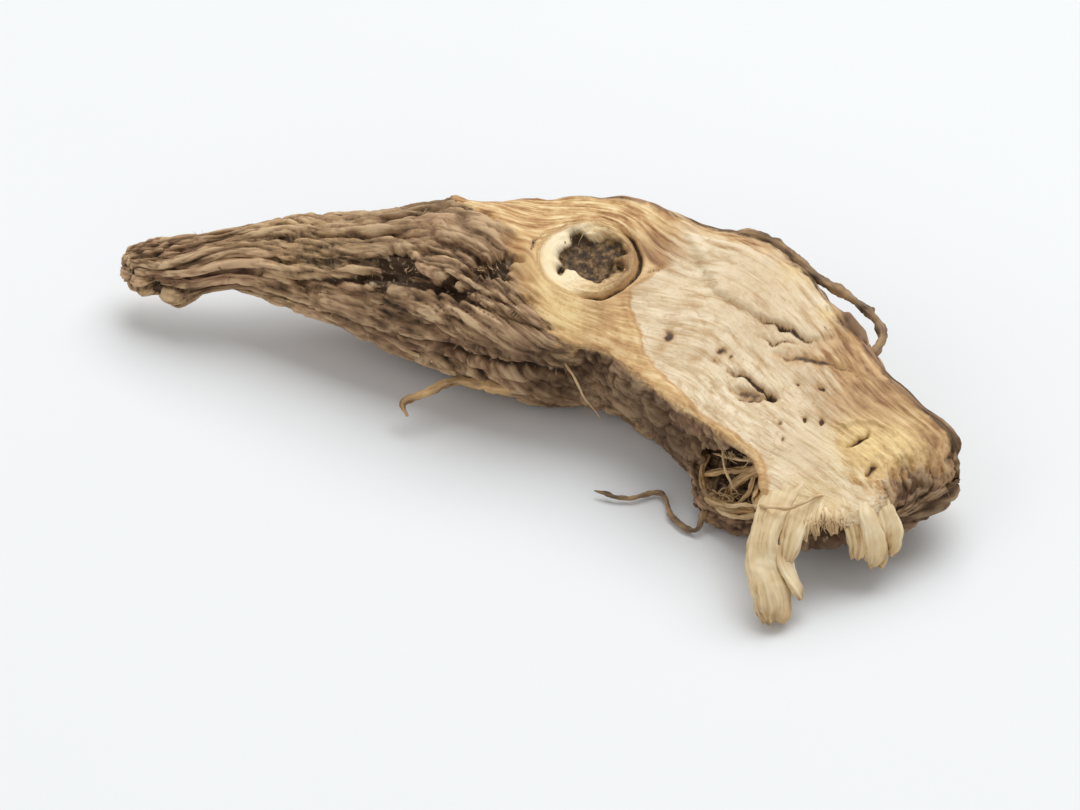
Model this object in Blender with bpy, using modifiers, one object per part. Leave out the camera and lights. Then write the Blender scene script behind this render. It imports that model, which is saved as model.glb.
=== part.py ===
"""A dried piece of burdock root, split lengthwise, lying on its rounded underside.

The piece is one grown body: a wrinkled tail, a crown with the pale split face on top, the scar of a
side root on that face, the torn strips at the crown's end and a few thin rootlets. They are modelled
apart and then joined into one solid.

Metres, +Z up. The tail points to -X, the crown bends from +X towards -Y, and the split face looks up
and a little towards -Y. The origin is on the surface under the middle of the piece.
"""

import math
from collections import namedtuple

import bmesh
import bpy
import numpy as np
from mathutils import Vector

MM = 0.001
NAME = "burdock_root"

# From the drawing's zero, under the side root's scar, to the middle of the piece, in millimetres
MIDDLE = Vector((1.3, -5.3, 0.0))

# The body's sections in millimetres: the two rims that span one, the height of its upper arc over the
# line between them, the depth of its lower arc under it and the lower arc's squareness, where 1 is an
# ellipse and less is fuller
Section = namedtuple("Section", "far near rise drop squareness")
TAIL_TO_CROWN = (
    Section((-25.4, 11.7, 3.6), (-25.4, 8.6, 3.2), 1.4, 1.6, 0.95),
    Section((-22.0, 11.2, 4.5), (-22.0, 6.9, 4.0), 2.1, 2.3, 0.95),
    Section((-18.0, 11.2, 5.2), (-18.0, 6.9, 4.7), 2.1, 2.1, 0.95),
    Section((-12.8, 11.2, 5.7), (-12.8, 4.0, 5.1), 3.0, 2.9, 0.95),
    Section((-6.0, 11.6, 6.2), (-6.0, 0.6, 5.2), 4.3, 4.4, 0.9),
    Section((-2.0, 11.3, 6.9), (-2.0, -1.9, 5.6), 4.2, 5.8, 0.85),
    Section((1.5, 10.6, 8.3), (2.0, -2.9, 6.7), 2.3, 7.5, 0.75),
    Section((5.5, 9.6, 9.7), (4.8, -3.4, 7.5), 0.9, 8.6, 0.66),
    Section((12.4, 6.4, 9.8), (7.4, -5.6, 7.4), 0.4, 8.7, 0.62),
    Section((16.8, 4.6, 9.4), (9.8, -8.4, 7.2), 0.4, 8.4, 0.6),
    Section((21.4, -2.2, 8.6), (12.3, -10.7, 6.9), 0.4, 7.6, 0.56),
    Section((24.6, -7.2, 7.6), (14.9, -13.3, 6.5), 0.5, 6.6, 0.5),
    Section((27.8, -10.0, 6.2), (15.7, -16.0, 5.9), 0.5, 4.6, 0.56),
    Section((28.4, -12.6, 4.8), (17.2, -17.6, 5.1), 0.4, 2.5, 0.65),
)
ROWS = 78
TOP_COLUMNS = 24
UNDER_COLUMNS = 22
TAIL_DOME, CROWN_DOME = 0.9, 1.4  # how far the closed ends bulge past the outer sections
DOME_ROWS = 4

# The bark ends and the split face begins at this x for each y, across the body
FACE_EDGE_Y = (-3.0, -1.2, 1.4, 5.3, 8.7)
FACE_EDGE_X = (3.6, 1.3, 0.6, -0.2, -4.2)
FACE_EDGE_BLEND = 0.8
RIM_BLEND = 1.0  # the bark is smooth on the rim of the split face and rough this far below it

# The bark dried into long rounded cords with sharp furrows between them, in two sets that cross
CORDS, CROSSING_CORDS = 12, 7
CORD_HEIGHT = 0.75
FULL_CORD_RADIUS = 4.0  # a thinner stretch has lower cords in proportion
LUMP_HEIGHT = 0.3
LUMP_SIZE = 4.5

# Swellings of the surface: centre, reach and height
Swelling = namedtuple("Swelling", "name centre reach height")
SWELLINGS = (
    Swelling("crown_lobe", (16.0, -1.6, 9.3), 2.6, 0.5),
    Swelling("tip_hook", (-22.6, 7.4, 2.4), 1.3, 0.8),
    Swelling("crown_corner", (27.0, -13.0, 3.4), 2.2, 0.5),
    Swelling("near_knuckle", (5.6, -4.6, 3.4), 1.8, 0.6),
    Swelling("far_knuckle", (0.6, 10.6, 8.0), 1.6, 0.4),
)

# The cleft on the camera side of the tail: x, the angle round the section (0 is the far rim, a
# quarter turn the top, a half turn the near rim) and the depth
CLEFT_X = (-18.0, -12.9, -9.1, -6.3, -3.4, -0.4)
CLEFT_ANGLE = (2.95, 2.5, 2.35, 2.35, 2.25, 2.1)
CLEFT_DEPTH = (0.0, 0.9, 1.1, 1.3, 1.3, 0.0)
CLEFT_WIDTH = 0.75

# The scar of a side root on the split face: a raised rim round a dead, hollow middle
SCAR_CENTRE = Vector((4.5, 3.4, 9.4))
SCAR_TURN = (math.radians(16), math.radians(-7), 0.0)
SCAR_OUTER, SCAR_INNER = 3.6, 2.3
SCAR_RIM_HEIGHT = 0.45
SCAR_PIT_DEPTH = 0.9
SCAR_ROOT_DEPTH = 1.2  # how far the rim reaches into the body, past the pit's floor
SCAR_STEPS = 32

# Hollows cut into the body: centre, radii and the turn about Z
Hollow = namedtuple("Hollow", "name centre radii turn")
HOLLOWS = (
    Hollow("tail_pit_small", (-6.5, 2.7, 8.3), (1.0, 0.8, 1.1), 0.0),
    Hollow("tail_pit_large", (-2.2, 2.2, 9.4), (1.7, 1.0, 1.1), 0.2),
    Hollow("lobe_crack", (17.0, -2.9, 9.2), (1.5, 0.35, 0.7), -0.5),
    Hollow("face_crack", (15.3, -8.1, 8.1), (1.1, 0.45, 0.7), -0.5),
    Hollow("patch_slit", (21.8, -12.0, 7.3), (0.55, 0.28, 0.6), 0.9),
    Hollow("torn_pocket", (13.6, -13.0, 3.9), (2.8, 2.6, 1.6), 0.7),
)

# Torn strips that hang from the crown's end: points, width and thickness
Strip = namedtuple("Strip", "name path width thickness")
STRIPS = (
    Strip(
        "long_strip",
        ((17.2, -12.4, 4.4), (16.5, -15.8, 5.4), (15.8, -18.2, 4.5), (15.7, -20.2, 2.6), (16.3, -22.0, 0.75)),
        2.7,
        1.3,
    ),
    Strip(
        "short_strip",
        ((18.8, -13.4, 4.4), (18.2, -16.8, 5.2), (17.6, -18.6, 3.9), (18.3, -20.6, 1.6)),
        1.4,
        1.0,
    ),
    Strip(
        "inner_finger",
        ((21.6, -12.8, 4.2), (21.5, -15.8, 5.0), (21.6, -17.6, 3.4), (22.2, -18.2, 1.9)),
        1.7,
        1.1,
    ),
    Strip(
        "outer_finger",
        ((23.8, -12.0, 4.0), (23.5, -15.2, 4.7), (23.6, -16.9, 3.0), (23.8, -17.3, 1.3)),
        1.6,
        1.2,
    ),
    Strip(
        "pocket_lip",
        ((12.2, -7.0, 2.6), (12.3, -9.6, 1.7), (13.4, -11.3, 1.3), (15.8, -12.5, 1.6), (18.8, -12.2, 3.2)),
        3.2,
        2.4,
    ),
)

# Thin round pieces: points and the radius at both ends
Rootlet = namedtuple("Rootlet", "name path thick thin")
ROOTLETS = (
    Rootlet(
        "looped_rootlet",
        (
            (12.9, 2.6, 7.6),
            (14.6, 4.4, 9.2),
            (16.6, 4.8, 9.8),
            (18.2, 3.7, 9.4),
            (20.0, 2.1, 9.0),
            (21.9, 0.4, 8.5),
            (23.2, -1.4, 8.1),
            (23.4, -3.4, 7.8),
            (22.7, -6.2, 6.8),
        ),
        0.5,
        0.36,
    ),
    Rootlet(
        "hooked_rootlet",
        (
            (3.5, 1.6, 3.2),
            (-0.2, -1.7, 3.0),
            (-2.4, -1.4, 2.9),
            (-4.4, -1.0, 2.9),
            (-6.5, -1.9, 2.5),
            (-7.6, -2.2, 2.1),
            (-7.3, -2.9, 1.5),
        ),
        0.45,
        0.32,
    ),
    Rootlet(
        "fine_rootlet",
        (
            (13.0, -9.4, 2.6),
            (11.9, -11.9, 1.2),
            (11.3, -13.1, 0.5),
            (9.8, -11.6, 0.4),
            (9.1, -9.3, 0.4),
            (7.0, -9.8, 0.4),
            (4.8, -9.2, 0.6),
        ),
        0.32,
        0.28,
    ),
    Rootlet("pocket_fibre", ((10.6, -10.0, 2.4), (12.8, -12.9, 3.2), (16.4, -13.4, 5.0)), 0.36, 0.36),
    Rootlet("lower_pocket_fibre", ((12.0, -10.4, 1.6), (14.4, -13.6, 2.4), (17.4, -14.6, 4.4)), 0.36, 0.36),
)
ROOTLET_STEP = 1.2  # between the points of a rootlet's curve
STRIP_SIDES = 10
STRIP_TAPER = 0.35  # of its width that a strip has lost at its end
WELD = 0.002
BARK_COLOUR = (0.19, 0.115, 0.065, 1.0)


def clear_scene():
    """Removes every object that the file opened with."""
    for thing in list(bpy.data.objects):
        bpy.data.objects.remove(thing)


def smooth_through(points, count):
    """count rows on a Catmull-Rom curve through the rows of points, evenly spaced along it."""
    rows = np.array(points, float)
    padded = np.vstack([2 * rows[0] - rows[1], rows, 2 * rows[-1] - rows[-2]])
    fine = []
    for before, start, end, after in zip(padded, padded[1:], padded[2:], padded[3:]):
        for t in np.linspace(0.0, 1.0, 24, endpoint=False):
            fine.append(
                0.5
                * (
                    2 * start
                    + (end - before) * t
                    + (2 * before - 5 * start + 4 * end - after) * t**2
                    + (3 * start - before - 3 * end + after) * t**3
                )
            )
    fine = np.array(fine + [rows[-1]])
    steps = np.linalg.norm(np.diff(fine[:, :3], axis=0), axis=1)
    along = np.concatenate([[0.0], np.cumsum(steps)])
    wanted = np.linspace(0.0, along[-1], count)
    return np.column_stack([np.interp(wanted, along, column) for column in fine.T])


def section_rows():
    """The body's sections as rows: middle, half span from far to near, rise, drop and squareness."""
    keys = []
    for section in TAIL_TO_CROWN:
        far, near = np.array(section.far), np.array(section.near)
        keys.append([*(far + near) / 2, *(near - far) / 2, section.rise, section.drop, section.squareness])
    return smooth_through(keys, ROWS)


def plain_body():
    """The smooth body, one row for each section: points, angles round it and lift over its chord.

    The angle is 0 at the far rim, a quarter turn on top, a half turn at the near rim and more than
    that underneath. A flat upper arc has its columns evenly spaced across it, a round one round it.
    """
    sections = section_rows()
    middle, half_span = sections[:, 0:3], sections[:, 3:6]
    rise, drop, squareness = sections[:, 6:7], sections[:, 7:8], sections[:, 8:9]
    reach = np.linalg.norm(half_span, axis=1, keepdims=True)
    across = half_span / reach
    up = np.array((0.0, 0.0, 1.0)) - across * across[:, 2:3]
    up /= np.linalg.norm(up, axis=1, keepdims=True)

    share = np.linspace(0.0, 1.0, TOP_COLUMNS, endpoint=False)[None, :]
    roundness = np.clip(rise / reach, 0.0, 1.0)
    over_side = (1 - roundness) * (1 - 2 * share) + roundness * np.cos(math.pi * share)
    over = np.arccos(over_side)
    under = np.linspace(math.pi, 2 * math.pi, UNDER_COLUMNS, endpoint=False)[None, :]
    under = np.repeat(under, len(sections), axis=0)
    under_side = np.sign(np.cos(under)) * np.abs(np.cos(under)) ** squareness
    angles = np.hstack([over, under])
    side = -np.hstack([over_side, under_side])
    lift = np.hstack([rise * np.sin(over), -drop * np.abs(np.sin(under)) ** squareness])
    points = middle[:, None] + half_span[:, None] * side[:, :, None] + up[:, None] * lift[:, :, None]
    return points, angles, lift


def with_domes(points):
    """The rows of points with rounded ends, and each row's share of its full width."""
    turns = np.linspace(0.0, math.pi / 2, DOME_ROWS + 1, endpoint=False)[1:]
    ends = []
    for rim, inner, bulge in ((points[0], points[1], TAIL_DOME), (points[-1], points[-2], CROWN_DOME)):
        centre = rim.mean(axis=0)
        outwards = centre - inner.mean(axis=0)
        outwards /= np.linalg.norm(outwards)
        ends.append([centre + (rim - centre) * math.cos(a) + outwards * bulge * math.sin(a) for a in turns])
    shares = np.concatenate([np.cos(turns)[::-1], np.ones(len(points)), np.cos(turns)])
    return np.concatenate([ends[0][::-1], points, ends[1]]), shares


def outward_normals(points):
    """Unit normals of the grid of points, which closes round each row."""
    along = np.gradient(points, axis=0)
    around = np.roll(points, -1, axis=1) - np.roll(points, 1, axis=1)
    normals = np.cross(along, around)
    centres = points.mean(axis=1, keepdims=True)
    if np.sum(normals * (points - centres)) < 0:
        normals = -normals
    return normals / np.maximum(np.linalg.norm(normals, axis=2, keepdims=True), 1e-9)


def bark_share(points, lift):
    """1 on the bark and 0 on the split face, with a soft border."""
    edge_x = np.interp(points[:, :, 1], FACE_EDGE_Y, FACE_EDGE_X)
    past_edge = np.clip((points[:, :, 0] - edge_x) / FACE_EDGE_BLEND, 0.0, 1.0)
    on_top = np.clip(1.0 + lift / RIM_BLEND, 0.0, 1.0)
    return 1.0 - past_edge * on_top


def girth_radius(points):
    """The radius of a circle with each row's girth, as a column."""
    girth = np.linalg.norm(np.diff(points, axis=1, append=points[:, :1]), axis=2).sum(axis=1)
    return girth[:, None] / (2 * math.pi)


def cord_heights(points, angles):
    """Height of the long cords of bark at each point: 0 in a furrow, most along a cord's back."""
    along = np.linspace(0.0, 1.0, len(points))[:, None]
    sway = 0.34 * np.sin(4.4 * along + 0.4) + 0.13 * np.sin(13.0 * along + 2.0 * angles)
    main = np.abs(np.sin(CORDS / 2 * (angles + sway)))
    crossing = np.abs(np.sin(CROSSING_CORDS / 2 * (angles - 1.5 * sway + 1.1 * along) + 0.6))
    share = np.clip(girth_radius(points) / FULL_CORD_RADIUS, 0.35, 1.0)
    return CORD_HEIGHT * share * np.minimum(main**0.7, 0.25 + crossing)


def cleft_depths(points, angles):
    """Depth of the tail's cleft at each point."""
    x = points[:, :, 0].mean(axis=1)
    line = np.interp(x, CLEFT_X, CLEFT_ANGLE)[:, None]
    deep = np.interp(x, CLEFT_X, CLEFT_DEPTH, left=0.0, right=0.0)[:, None]
    away = (angles - line) * girth_radius(points)
    return deep * np.exp(-((away / CLEFT_WIDTH) ** 2))


def lump_heights(points):
    """A slow swelling and sinking of the bark, up to 1 each way."""
    x, y, z = np.moveaxis(points / LUMP_SIZE, 2, 0)
    return np.sin(1.7 * x + 0.9 * z) * np.cos(1.3 * y - 0.7 * x + 1.1 * z)


def swelling_heights(points):
    """Height of the swellings at each point."""
    height = np.zeros(points.shape[:2])
    for swelling in SWELLINGS:
        away = np.linalg.norm(points - np.array(swelling.centre), axis=2)
        height += swelling.height * np.exp(-((away / swelling.reach) ** 2))
    return height


def body_points():
    """The body's grid with its lumps, cords, cleft and swellings, flat where it rests."""
    points, angles, lift = plain_body()
    points, shares = with_domes(points)
    ends = (DOME_ROWS, DOME_ROWS), (0, 0)
    angles, lift = np.pad(angles, ends, "edge"), np.pad(lift, ends, "edge")
    relief = LUMP_HEIGHT * lump_heights(points) + cord_heights(points, angles) - CORD_HEIGHT / 2
    relief -= cleft_depths(points, angles)
    height = bark_share(points, lift) * relief * shares[:, None] + swelling_heights(points)
    points = points + outward_normals(points) * height[:, :, None]
    points[:, :, 2] = np.maximum(points[:, :, 2], 0.0)
    return points


def new_object(name, mesh):
    """A linked object that holds mesh."""
    thing = bpy.data.objects.new(name, mesh)
    bpy.context.scene.collection.objects.link(thing)
    return thing


def lofted(name, rings):
    """A closed mesh through rings of points, in millimetres, with a fan at each end."""
    form = bmesh.new()
    loops = [[form.verts.new((Vector(p) - MIDDLE) * MM) for p in ring] for ring in rings]
    count = len(loops[0])
    for ring, following in zip(loops, loops[1:]):
        for i in range(count):
            j = (i + 1) % count
            form.faces.new((ring[i], ring[j], following[j], following[i]))
    for ring in (loops[0], loops[-1]):
        middle = form.verts.new(sum((v.co for v in ring), Vector()) / count)
        for i in range(count):
            form.faces.new((ring[i], ring[(i + 1) % count], middle))
    bmesh.ops.triangulate(form, faces=form.faces[:])
    bmesh.ops.recalc_face_normals(form, faces=form.faces[:])
    mesh = bpy.data.meshes.new(name)
    form.to_mesh(mesh)
    form.free()
    return new_object(name, mesh)


def strip_object(strip):
    """A torn strip: an oval section carried along its path, thinner towards its end."""
    steps = 3 * (len(strip.path) - 1) + 1
    path = smooth_through(strip.path, steps)
    along = np.gradient(path, axis=0)
    rings = []
    for number, (point, direction) in enumerate(zip(path, along)):
        side = np.cross(direction, (0.0, 0.0, 1.0))
        side /= np.linalg.norm(side)
        face = np.cross(side, direction)
        face /= np.linalg.norm(face)
        share = 1.0 - STRIP_TAPER * (number / (steps - 1)) ** 3
        turns = np.linspace(0.0, 2 * math.pi, STRIP_SIDES, endpoint=False)
        wide, thick = strip.width / 2 * share, strip.thickness / 2 * share
        ring = [point + side * wide * math.cos(a) + face * thick * math.sin(a) for a in turns]
        rings.append([(x, y, max(z, 0.0)) for x, y, z in ring])
    return lofted(strip.name, rings)


def rootlet_object(rootlet):
    """A thin round rootlet: a bevelled curve with closed ends, made a mesh."""
    length = sum(math.dist(a, b) for a, b in zip(rootlet.path, rootlet.path[1:]))
    count = max(4, round(length / ROOTLET_STEP))
    path = smooth_through(rootlet.path, count)
    curve = bpy.data.curves.new(rootlet.name, "CURVE")
    curve.dimensions = "3D"
    curve.bevel_depth = MM
    curve.bevel_resolution = 2
    curve.use_fill_caps = True
    spline = curve.splines.new("POLY")
    spline.points.add(count - 1)
    for number, (point, place) in enumerate(zip(spline.points, path)):
        share = number / (count - 1)
        point.co = (*(Vector(place) - MIDDLE) * MM, 1.0)
        point.radius = rootlet.thick + (rootlet.thin - rootlet.thick) * share
    return as_mesh(new_object(rootlet.name, curve))


def as_mesh(drawn):
    """The evaluated shape of drawn as a closed mesh object, in its place."""
    graph = bpy.context.evaluated_depsgraph_get()
    mesh = bpy.data.meshes.new_from_object(drawn.evaluated_get(graph))
    form = bmesh.new()
    form.from_mesh(mesh)
    bmesh.ops.remove_doubles(form, verts=form.verts[:], dist=WELD * MM)
    bmesh.ops.recalc_face_normals(form, faces=form.faces[:])
    form.to_mesh(mesh)
    form.free()
    made = new_object(drawn.name + "_mesh", mesh)
    made.matrix_world = drawn.matrix_world
    bpy.data.objects.remove(drawn)
    return made


def scar_rim():
    """The raised ring round the side root's scar, turned about the scar's own axis."""
    profile = bpy.data.meshes.new("scar_rim")
    outline = (
        (SCAR_OUTER, -SCAR_ROOT_DEPTH),
        (SCAR_OUTER, SCAR_RIM_HEIGHT * 0.3),
        (SCAR_OUTER * 0.85, SCAR_RIM_HEIGHT),
        (SCAR_INNER * 1.1, SCAR_RIM_HEIGHT * 0.8),
        (SCAR_INNER, -SCAR_ROOT_DEPTH),
    )
    count = len(outline)
    points = [(x * MM, 0.0, z * MM) for x, z in outline]
    profile.from_pydata(points, [(i, (i + 1) % count) for i in range(count)], [])
    ring = new_object("scar_rim", profile)
    screw = ring.modifiers.new("turn", "SCREW")
    screw.axis = "Z"
    screw.steps = SCAR_STEPS
    screw.render_steps = SCAR_STEPS
    screw.use_merge_vertices = True
    screw.merge_threshold = 0.01 * MM
    place_on_scar(ring)
    return as_mesh(ring)


def scar_pit():
    """The cutter that hollows the scar's dead middle and makes room for its rim."""
    radius = (SCAR_INNER + SCAR_OUTER) / 2 * MM
    bpy.ops.mesh.primitive_cylinder_add(vertices=SCAR_STEPS, radius=radius, depth=2 * SCAR_PIT_DEPTH * MM)
    cutter = bpy.context.object
    cutter.name = "scar_pit"
    place_on_scar(cutter)
    return cutter


def place_on_scar(thing):
    """Sets thing on the scar's centre, leaning with the split face."""
    thing.location = (SCAR_CENTRE - MIDDLE) * MM
    thing.rotation_euler = SCAR_TURN
    bpy.context.view_layer.update()


def hollow_cutter(hollow):
    """An ellipsoid that cuts one hollow."""
    bpy.ops.mesh.primitive_uv_sphere_add(segments=12, ring_count=8, radius=1.0)
    cutter = bpy.context.object
    cutter.name = hollow.name
    cutter.location = (Vector(hollow.centre) - MIDDLE) * MM
    cutter.scale = Vector(hollow.radii) * MM
    cutter.rotation_euler = (0.0, 0.0, hollow.turn)
    return cutter


def gathered(name, things):
    """A collection that holds only these objects."""
    group = bpy.data.collections.new(name)
    bpy.context.scene.collection.children.link(group)
    for thing in things:
        for holder in list(thing.users_collection):
            holder.objects.unlink(thing)
        group.objects.link(thing)
    return group


def combine(body, name, operation, things):
    """Applies one Boolean of all these objects to body and removes them."""
    group = gathered(name, things)
    cut = body.modifiers.new(name, "BOOLEAN")
    cut.operation = operation
    cut.operand_type = "COLLECTION"
    cut.collection = group
    cut.solver = "EXACT"
    bpy.context.view_layer.update()
    graph = bpy.context.evaluated_depsgraph_get()
    mesh = bpy.data.meshes.new_from_object(body.evaluated_get(graph))
    body.modifiers.remove(cut)
    body.data = mesh
    for thing in things:
        bpy.data.objects.remove(thing)
    bpy.data.collections.remove(group)


def bark_material():
    """Dull brown bark, which covers most of the piece."""
    material = bpy.data.materials.new("dried_root")
    material.use_nodes = True
    shader = material.node_tree.nodes["Principled BSDF"]
    shader.inputs["Base Color"].default_value = BARK_COLOUR
    shader.inputs["Roughness"].default_value = 0.85
    shader.inputs["Metallic"].default_value = 0.0
    return material


def build():
    """The whole root as one solid."""
    clear_scene()
    root = lofted(NAME, body_points())
    combine(root, "cuts", "DIFFERENCE", [scar_pit()] + [hollow_cutter(hollow) for hollow in HOLLOWS])
    grown = [scar_rim()]
    grown += [strip_object(strip) for strip in STRIPS]
    grown += [rootlet_object(rootlet) for rootlet in ROOTLETS]
    combine(root, "growths", "UNION", grown)
    root.data.materials.clear()
    root.data.materials.append(bark_material())
    root.data.shade_smooth()
    root.data.set_sharp_from_angle(angle=math.radians(40))
    gathered("burdock root", [root])


build()
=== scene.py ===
"""The looks of a dried piece of burdock root, split lengthwise at its crown.

The root's body is one fine grid over the same sections as the solid: cords of bark on the tail, the pale
split face, a side root's scar on it and a torn pocket under its near rim. Torn strips, rootlets and loose
fibres are pieces of their own. Sizes are in millimetres from a zero under the scar and are turned to
metres, in the part's own frame, when a mesh is made.
"""

import math
from collections import namedtuple
from itertools import product

import bmesh
import bpy
import numpy as np
from mathutils import Euler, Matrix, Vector


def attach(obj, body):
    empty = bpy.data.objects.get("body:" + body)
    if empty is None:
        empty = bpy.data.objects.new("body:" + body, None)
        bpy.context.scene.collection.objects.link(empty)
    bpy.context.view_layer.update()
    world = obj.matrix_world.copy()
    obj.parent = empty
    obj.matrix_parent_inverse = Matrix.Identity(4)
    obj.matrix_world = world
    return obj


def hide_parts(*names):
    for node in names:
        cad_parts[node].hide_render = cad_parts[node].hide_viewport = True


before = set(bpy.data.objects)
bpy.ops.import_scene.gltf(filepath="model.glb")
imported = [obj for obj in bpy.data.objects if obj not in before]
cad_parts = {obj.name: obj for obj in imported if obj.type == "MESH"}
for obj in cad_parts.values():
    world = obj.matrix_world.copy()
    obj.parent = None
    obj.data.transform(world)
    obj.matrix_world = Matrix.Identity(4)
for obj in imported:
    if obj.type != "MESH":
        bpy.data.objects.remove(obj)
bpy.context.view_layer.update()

MM = 0.001
NODE = "burdock_root"

# From the zero under the scar to the middle of the piece
MIDDLE = np.array((1.3, -5.3, 0.0))

# The body's sections: the two rims that span one, the height of its upper arc over the line between
# them, the depth of its lower arc under it and the lower arc's squareness
Section = namedtuple("Section", "far near rise drop squareness")
TAIL_TO_CROWN = (
    Section((-25.4, 11.7, 3.6), (-25.4, 8.6, 3.2), 1.4, 1.6, 0.95),
    Section((-22.0, 11.2, 4.5), (-22.0, 6.9, 4.0), 2.1, 2.3, 0.95),
    Section((-18.0, 11.2, 5.2), (-18.0, 6.9, 4.7), 2.1, 2.1, 0.95),
    Section((-12.8, 11.2, 5.7), (-12.8, 4.0, 5.1), 3.0, 2.9, 0.95),
    Section((-6.0, 11.6, 6.2), (-6.0, 0.6, 5.2), 4.3, 4.4, 0.9),
    Section((-2.0, 11.3, 6.9), (-2.0, -1.9, 5.6), 4.2, 5.8, 0.85),
    Section((1.5, 10.6, 8.3), (2.0, -2.9, 6.7), 2.3, 7.5, 0.75),
    Section((5.5, 9.6, 9.7), (4.8, -3.4, 7.5), 0.9, 8.6, 0.66),
    Section((12.4, 6.4, 9.8), (7.4, -5.6, 7.4), 0.4, 8.7, 0.62),
    Section((16.8, 4.6, 9.4), (9.8, -8.4, 7.2), 0.4, 8.4, 0.6),
    Section((21.4, -2.2, 8.6), (12.3, -10.7, 6.9), 0.4, 7.6, 0.56),
    Section((24.6, -7.2, 7.6), (14.9, -13.3, 6.5), 0.5, 6.6, 0.5),
    Section((27.8, -10.0, 6.2), (15.7, -16.0, 5.9), 0.5, 4.6, 0.56),
    Section((28.4, -12.6, 4.8), (17.2, -17.6, 5.1), 0.4, 2.5, 0.65),
)
ROWS = 420
DOME_SHARE = 0.047  # each rounded end's share of the body's length
CROWN_CROWDING = 0.3  # the rows stand this much closer together at the crown
TOP_COLUMNS = 116
UNDER_COLUMNS = 104
NEAR_CROWDING = 0.5  # the under columns stand this much closer together on the camera's side
TAIL_DOME, CROWN_DOME = 0.9, 1.4
DOME_ROWS = 9

# The bark ends and the split face begins at this x for each y, across the body
FACE_EDGE_Y = (-3.0, -1.2, 1.4, 5.3, 8.7)
FACE_EDGE_X = (3.4, 1.0, 0.2, -0.6, -4.2)
FACE_EDGE_BLEND = 0.8
RIM_BLEND = 1.0

# The bark's long cords, in two sets that cross
CORDS, CROSSING_CORDS = 12, 7
CORD_HEIGHT = 0.75
FULL_CORD_RADIUS = 4.0
CORD_WANDER = 0.16
LUMP_HEIGHT = 0.3
LUMP_SIZE = 4.5

# Swellings of the surface: centre, reach and height
Swelling = namedtuple("Swelling", "name centre reach height")
SWELLINGS = (
    Swelling("crown_lobe", (16.0, -1.6, 9.3), 2.6, 0.5),
    Swelling("tip_hook", (-22.6, 7.4, 2.4), 1.0, 0.9),
    Swelling("tip_knob", (-25.0, 8.3, 2.7), 0.8, 0.6),
    Swelling("tip_top", (-24.6, 11.0, 5.6), 0.9, 0.35),
    Swelling("crown_corner", (27.0, -13.0, 3.4), 2.2, 0.2),
    Swelling("corner_round", (29.0, -13.6, 2.8), 2.2, -0.7),
    Swelling("near_knuckle", (5.6, -4.6, 3.4), 1.8, 0.6),
    Swelling("far_shoulder", (8.2, 8.3, 9.6), 2.4, 0.4),
    Swelling("far_knuckle", (0.6, 10.6, 8.0), 1.6, 0.4),
)

# Clefts along the tail's near side: x, the angle round the section, where a half turn is the near rim,
# and the depth
Cleft = namedtuple("Cleft", "name x angle depth width")
CLEFTS = (
    Cleft(
        "main_cleft",
        (-18.0, -12.9, -9.1, -6.3, -3.4, -0.4),
        (2.95, 2.5, 2.35, 2.35, 2.25, 2.1),
        (0.0, 0.8, 0.9, 0.9, 0.8, 0.0),
        0.42,
    ),
    Cleft(
        "lower_cleft",
        (-13.0, -9.0, -5.5, -2.0, 2.5, 4.0),
        (3.3, 3.25, 3.22, 3.2, 3.3, 3.35),
        (0.0, 0.7, 1.0, 1.1, 0.9, 0.0),
        0.36,
    ),
)

# The side root's scar: distances from its axis and heights over the split face
SCAR_LEVEL = 6.0  # the scar shapes only what lies above this z
SCAR_CENTRE = np.array((4.5, 3.4, 9.4))
SCAR_TURN = Euler((math.radians(16), math.radians(-7), 0.0))
SCAR_REACH = (0.0, 1.5, 2.0, 2.3, 2.6, 2.9, 3.2, 3.6, 4.2, 4.9)
SCAR_HEIGHT = (-0.8, -0.75, -0.6, -0.1, 0.1, 0.16, 0.12, 0.12, 0.05, 0.0)
SCAR_GROOVE_REACH = 3.25
SCAR_GROOVE_DEPTH = 0.7
KNOT_REACH = 3.3
SCAR_NOTCH = (5.2, 5.6, 9.6)  # where sound wood juts into the dead middle
SCAR_OFFSET = (0.24, 0.4)  # from the ring's middle to the dead wood's

# Hollows: centre, radii, turn about Z, depth, and how ragged the edge is; the finish paints shade into each
# of them
Hollow = namedtuple("Hollow", "name centre radii turn depth ragged")
HOLLOWS = (
    Hollow("tail_pit_small", (-8.3, 3.7, 8.3), (2.3, 1.2, 1.5), 0.05, 0.65, 0.6),
    Hollow("tail_pit_large", (-2.0, 2.5, 9.2), (2.1, 1.4, 1.8), 0.2, 1.1, 0.5),
    Hollow("tail_pit_low", (-4.6, 1.9, 8.2), (1.1, 0.6, 1.0), 0.1, 0.6, 0.6),
    Hollow("torn_arch", (19.4, -18.3, 3.4), (2.3, 1.9, 1.7), 0.0, 1.4, 0.3),
    Hollow("tip_notch", (-25.4, 9.3, 3.6), (0.9, 0.6, 0.8), 0.0, 0.5, 0.4),
    Hollow("tip_crease", (-23.9, 7.9, 3.3), (0.6, 0.5, 0.8), 0.3, 0.35, 0.4),
)

# How high the lobe and the edge of the cream wood stand over the split face
LOBE_HEIGHT, CREAM_EDGE_HEIGHT = 0.32, 0.1

POCKET_SEEN = (14.2, -4.4)  # the torn pocket's middle as seen from the camera: across and up
POCKET_RADII = (2.8, 1.8)
POCKET_TURN = -0.15
POCKET_DEPTH = 2.4
INTO_POCKET = np.array((0.1, 0.97, -0.2))

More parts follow.
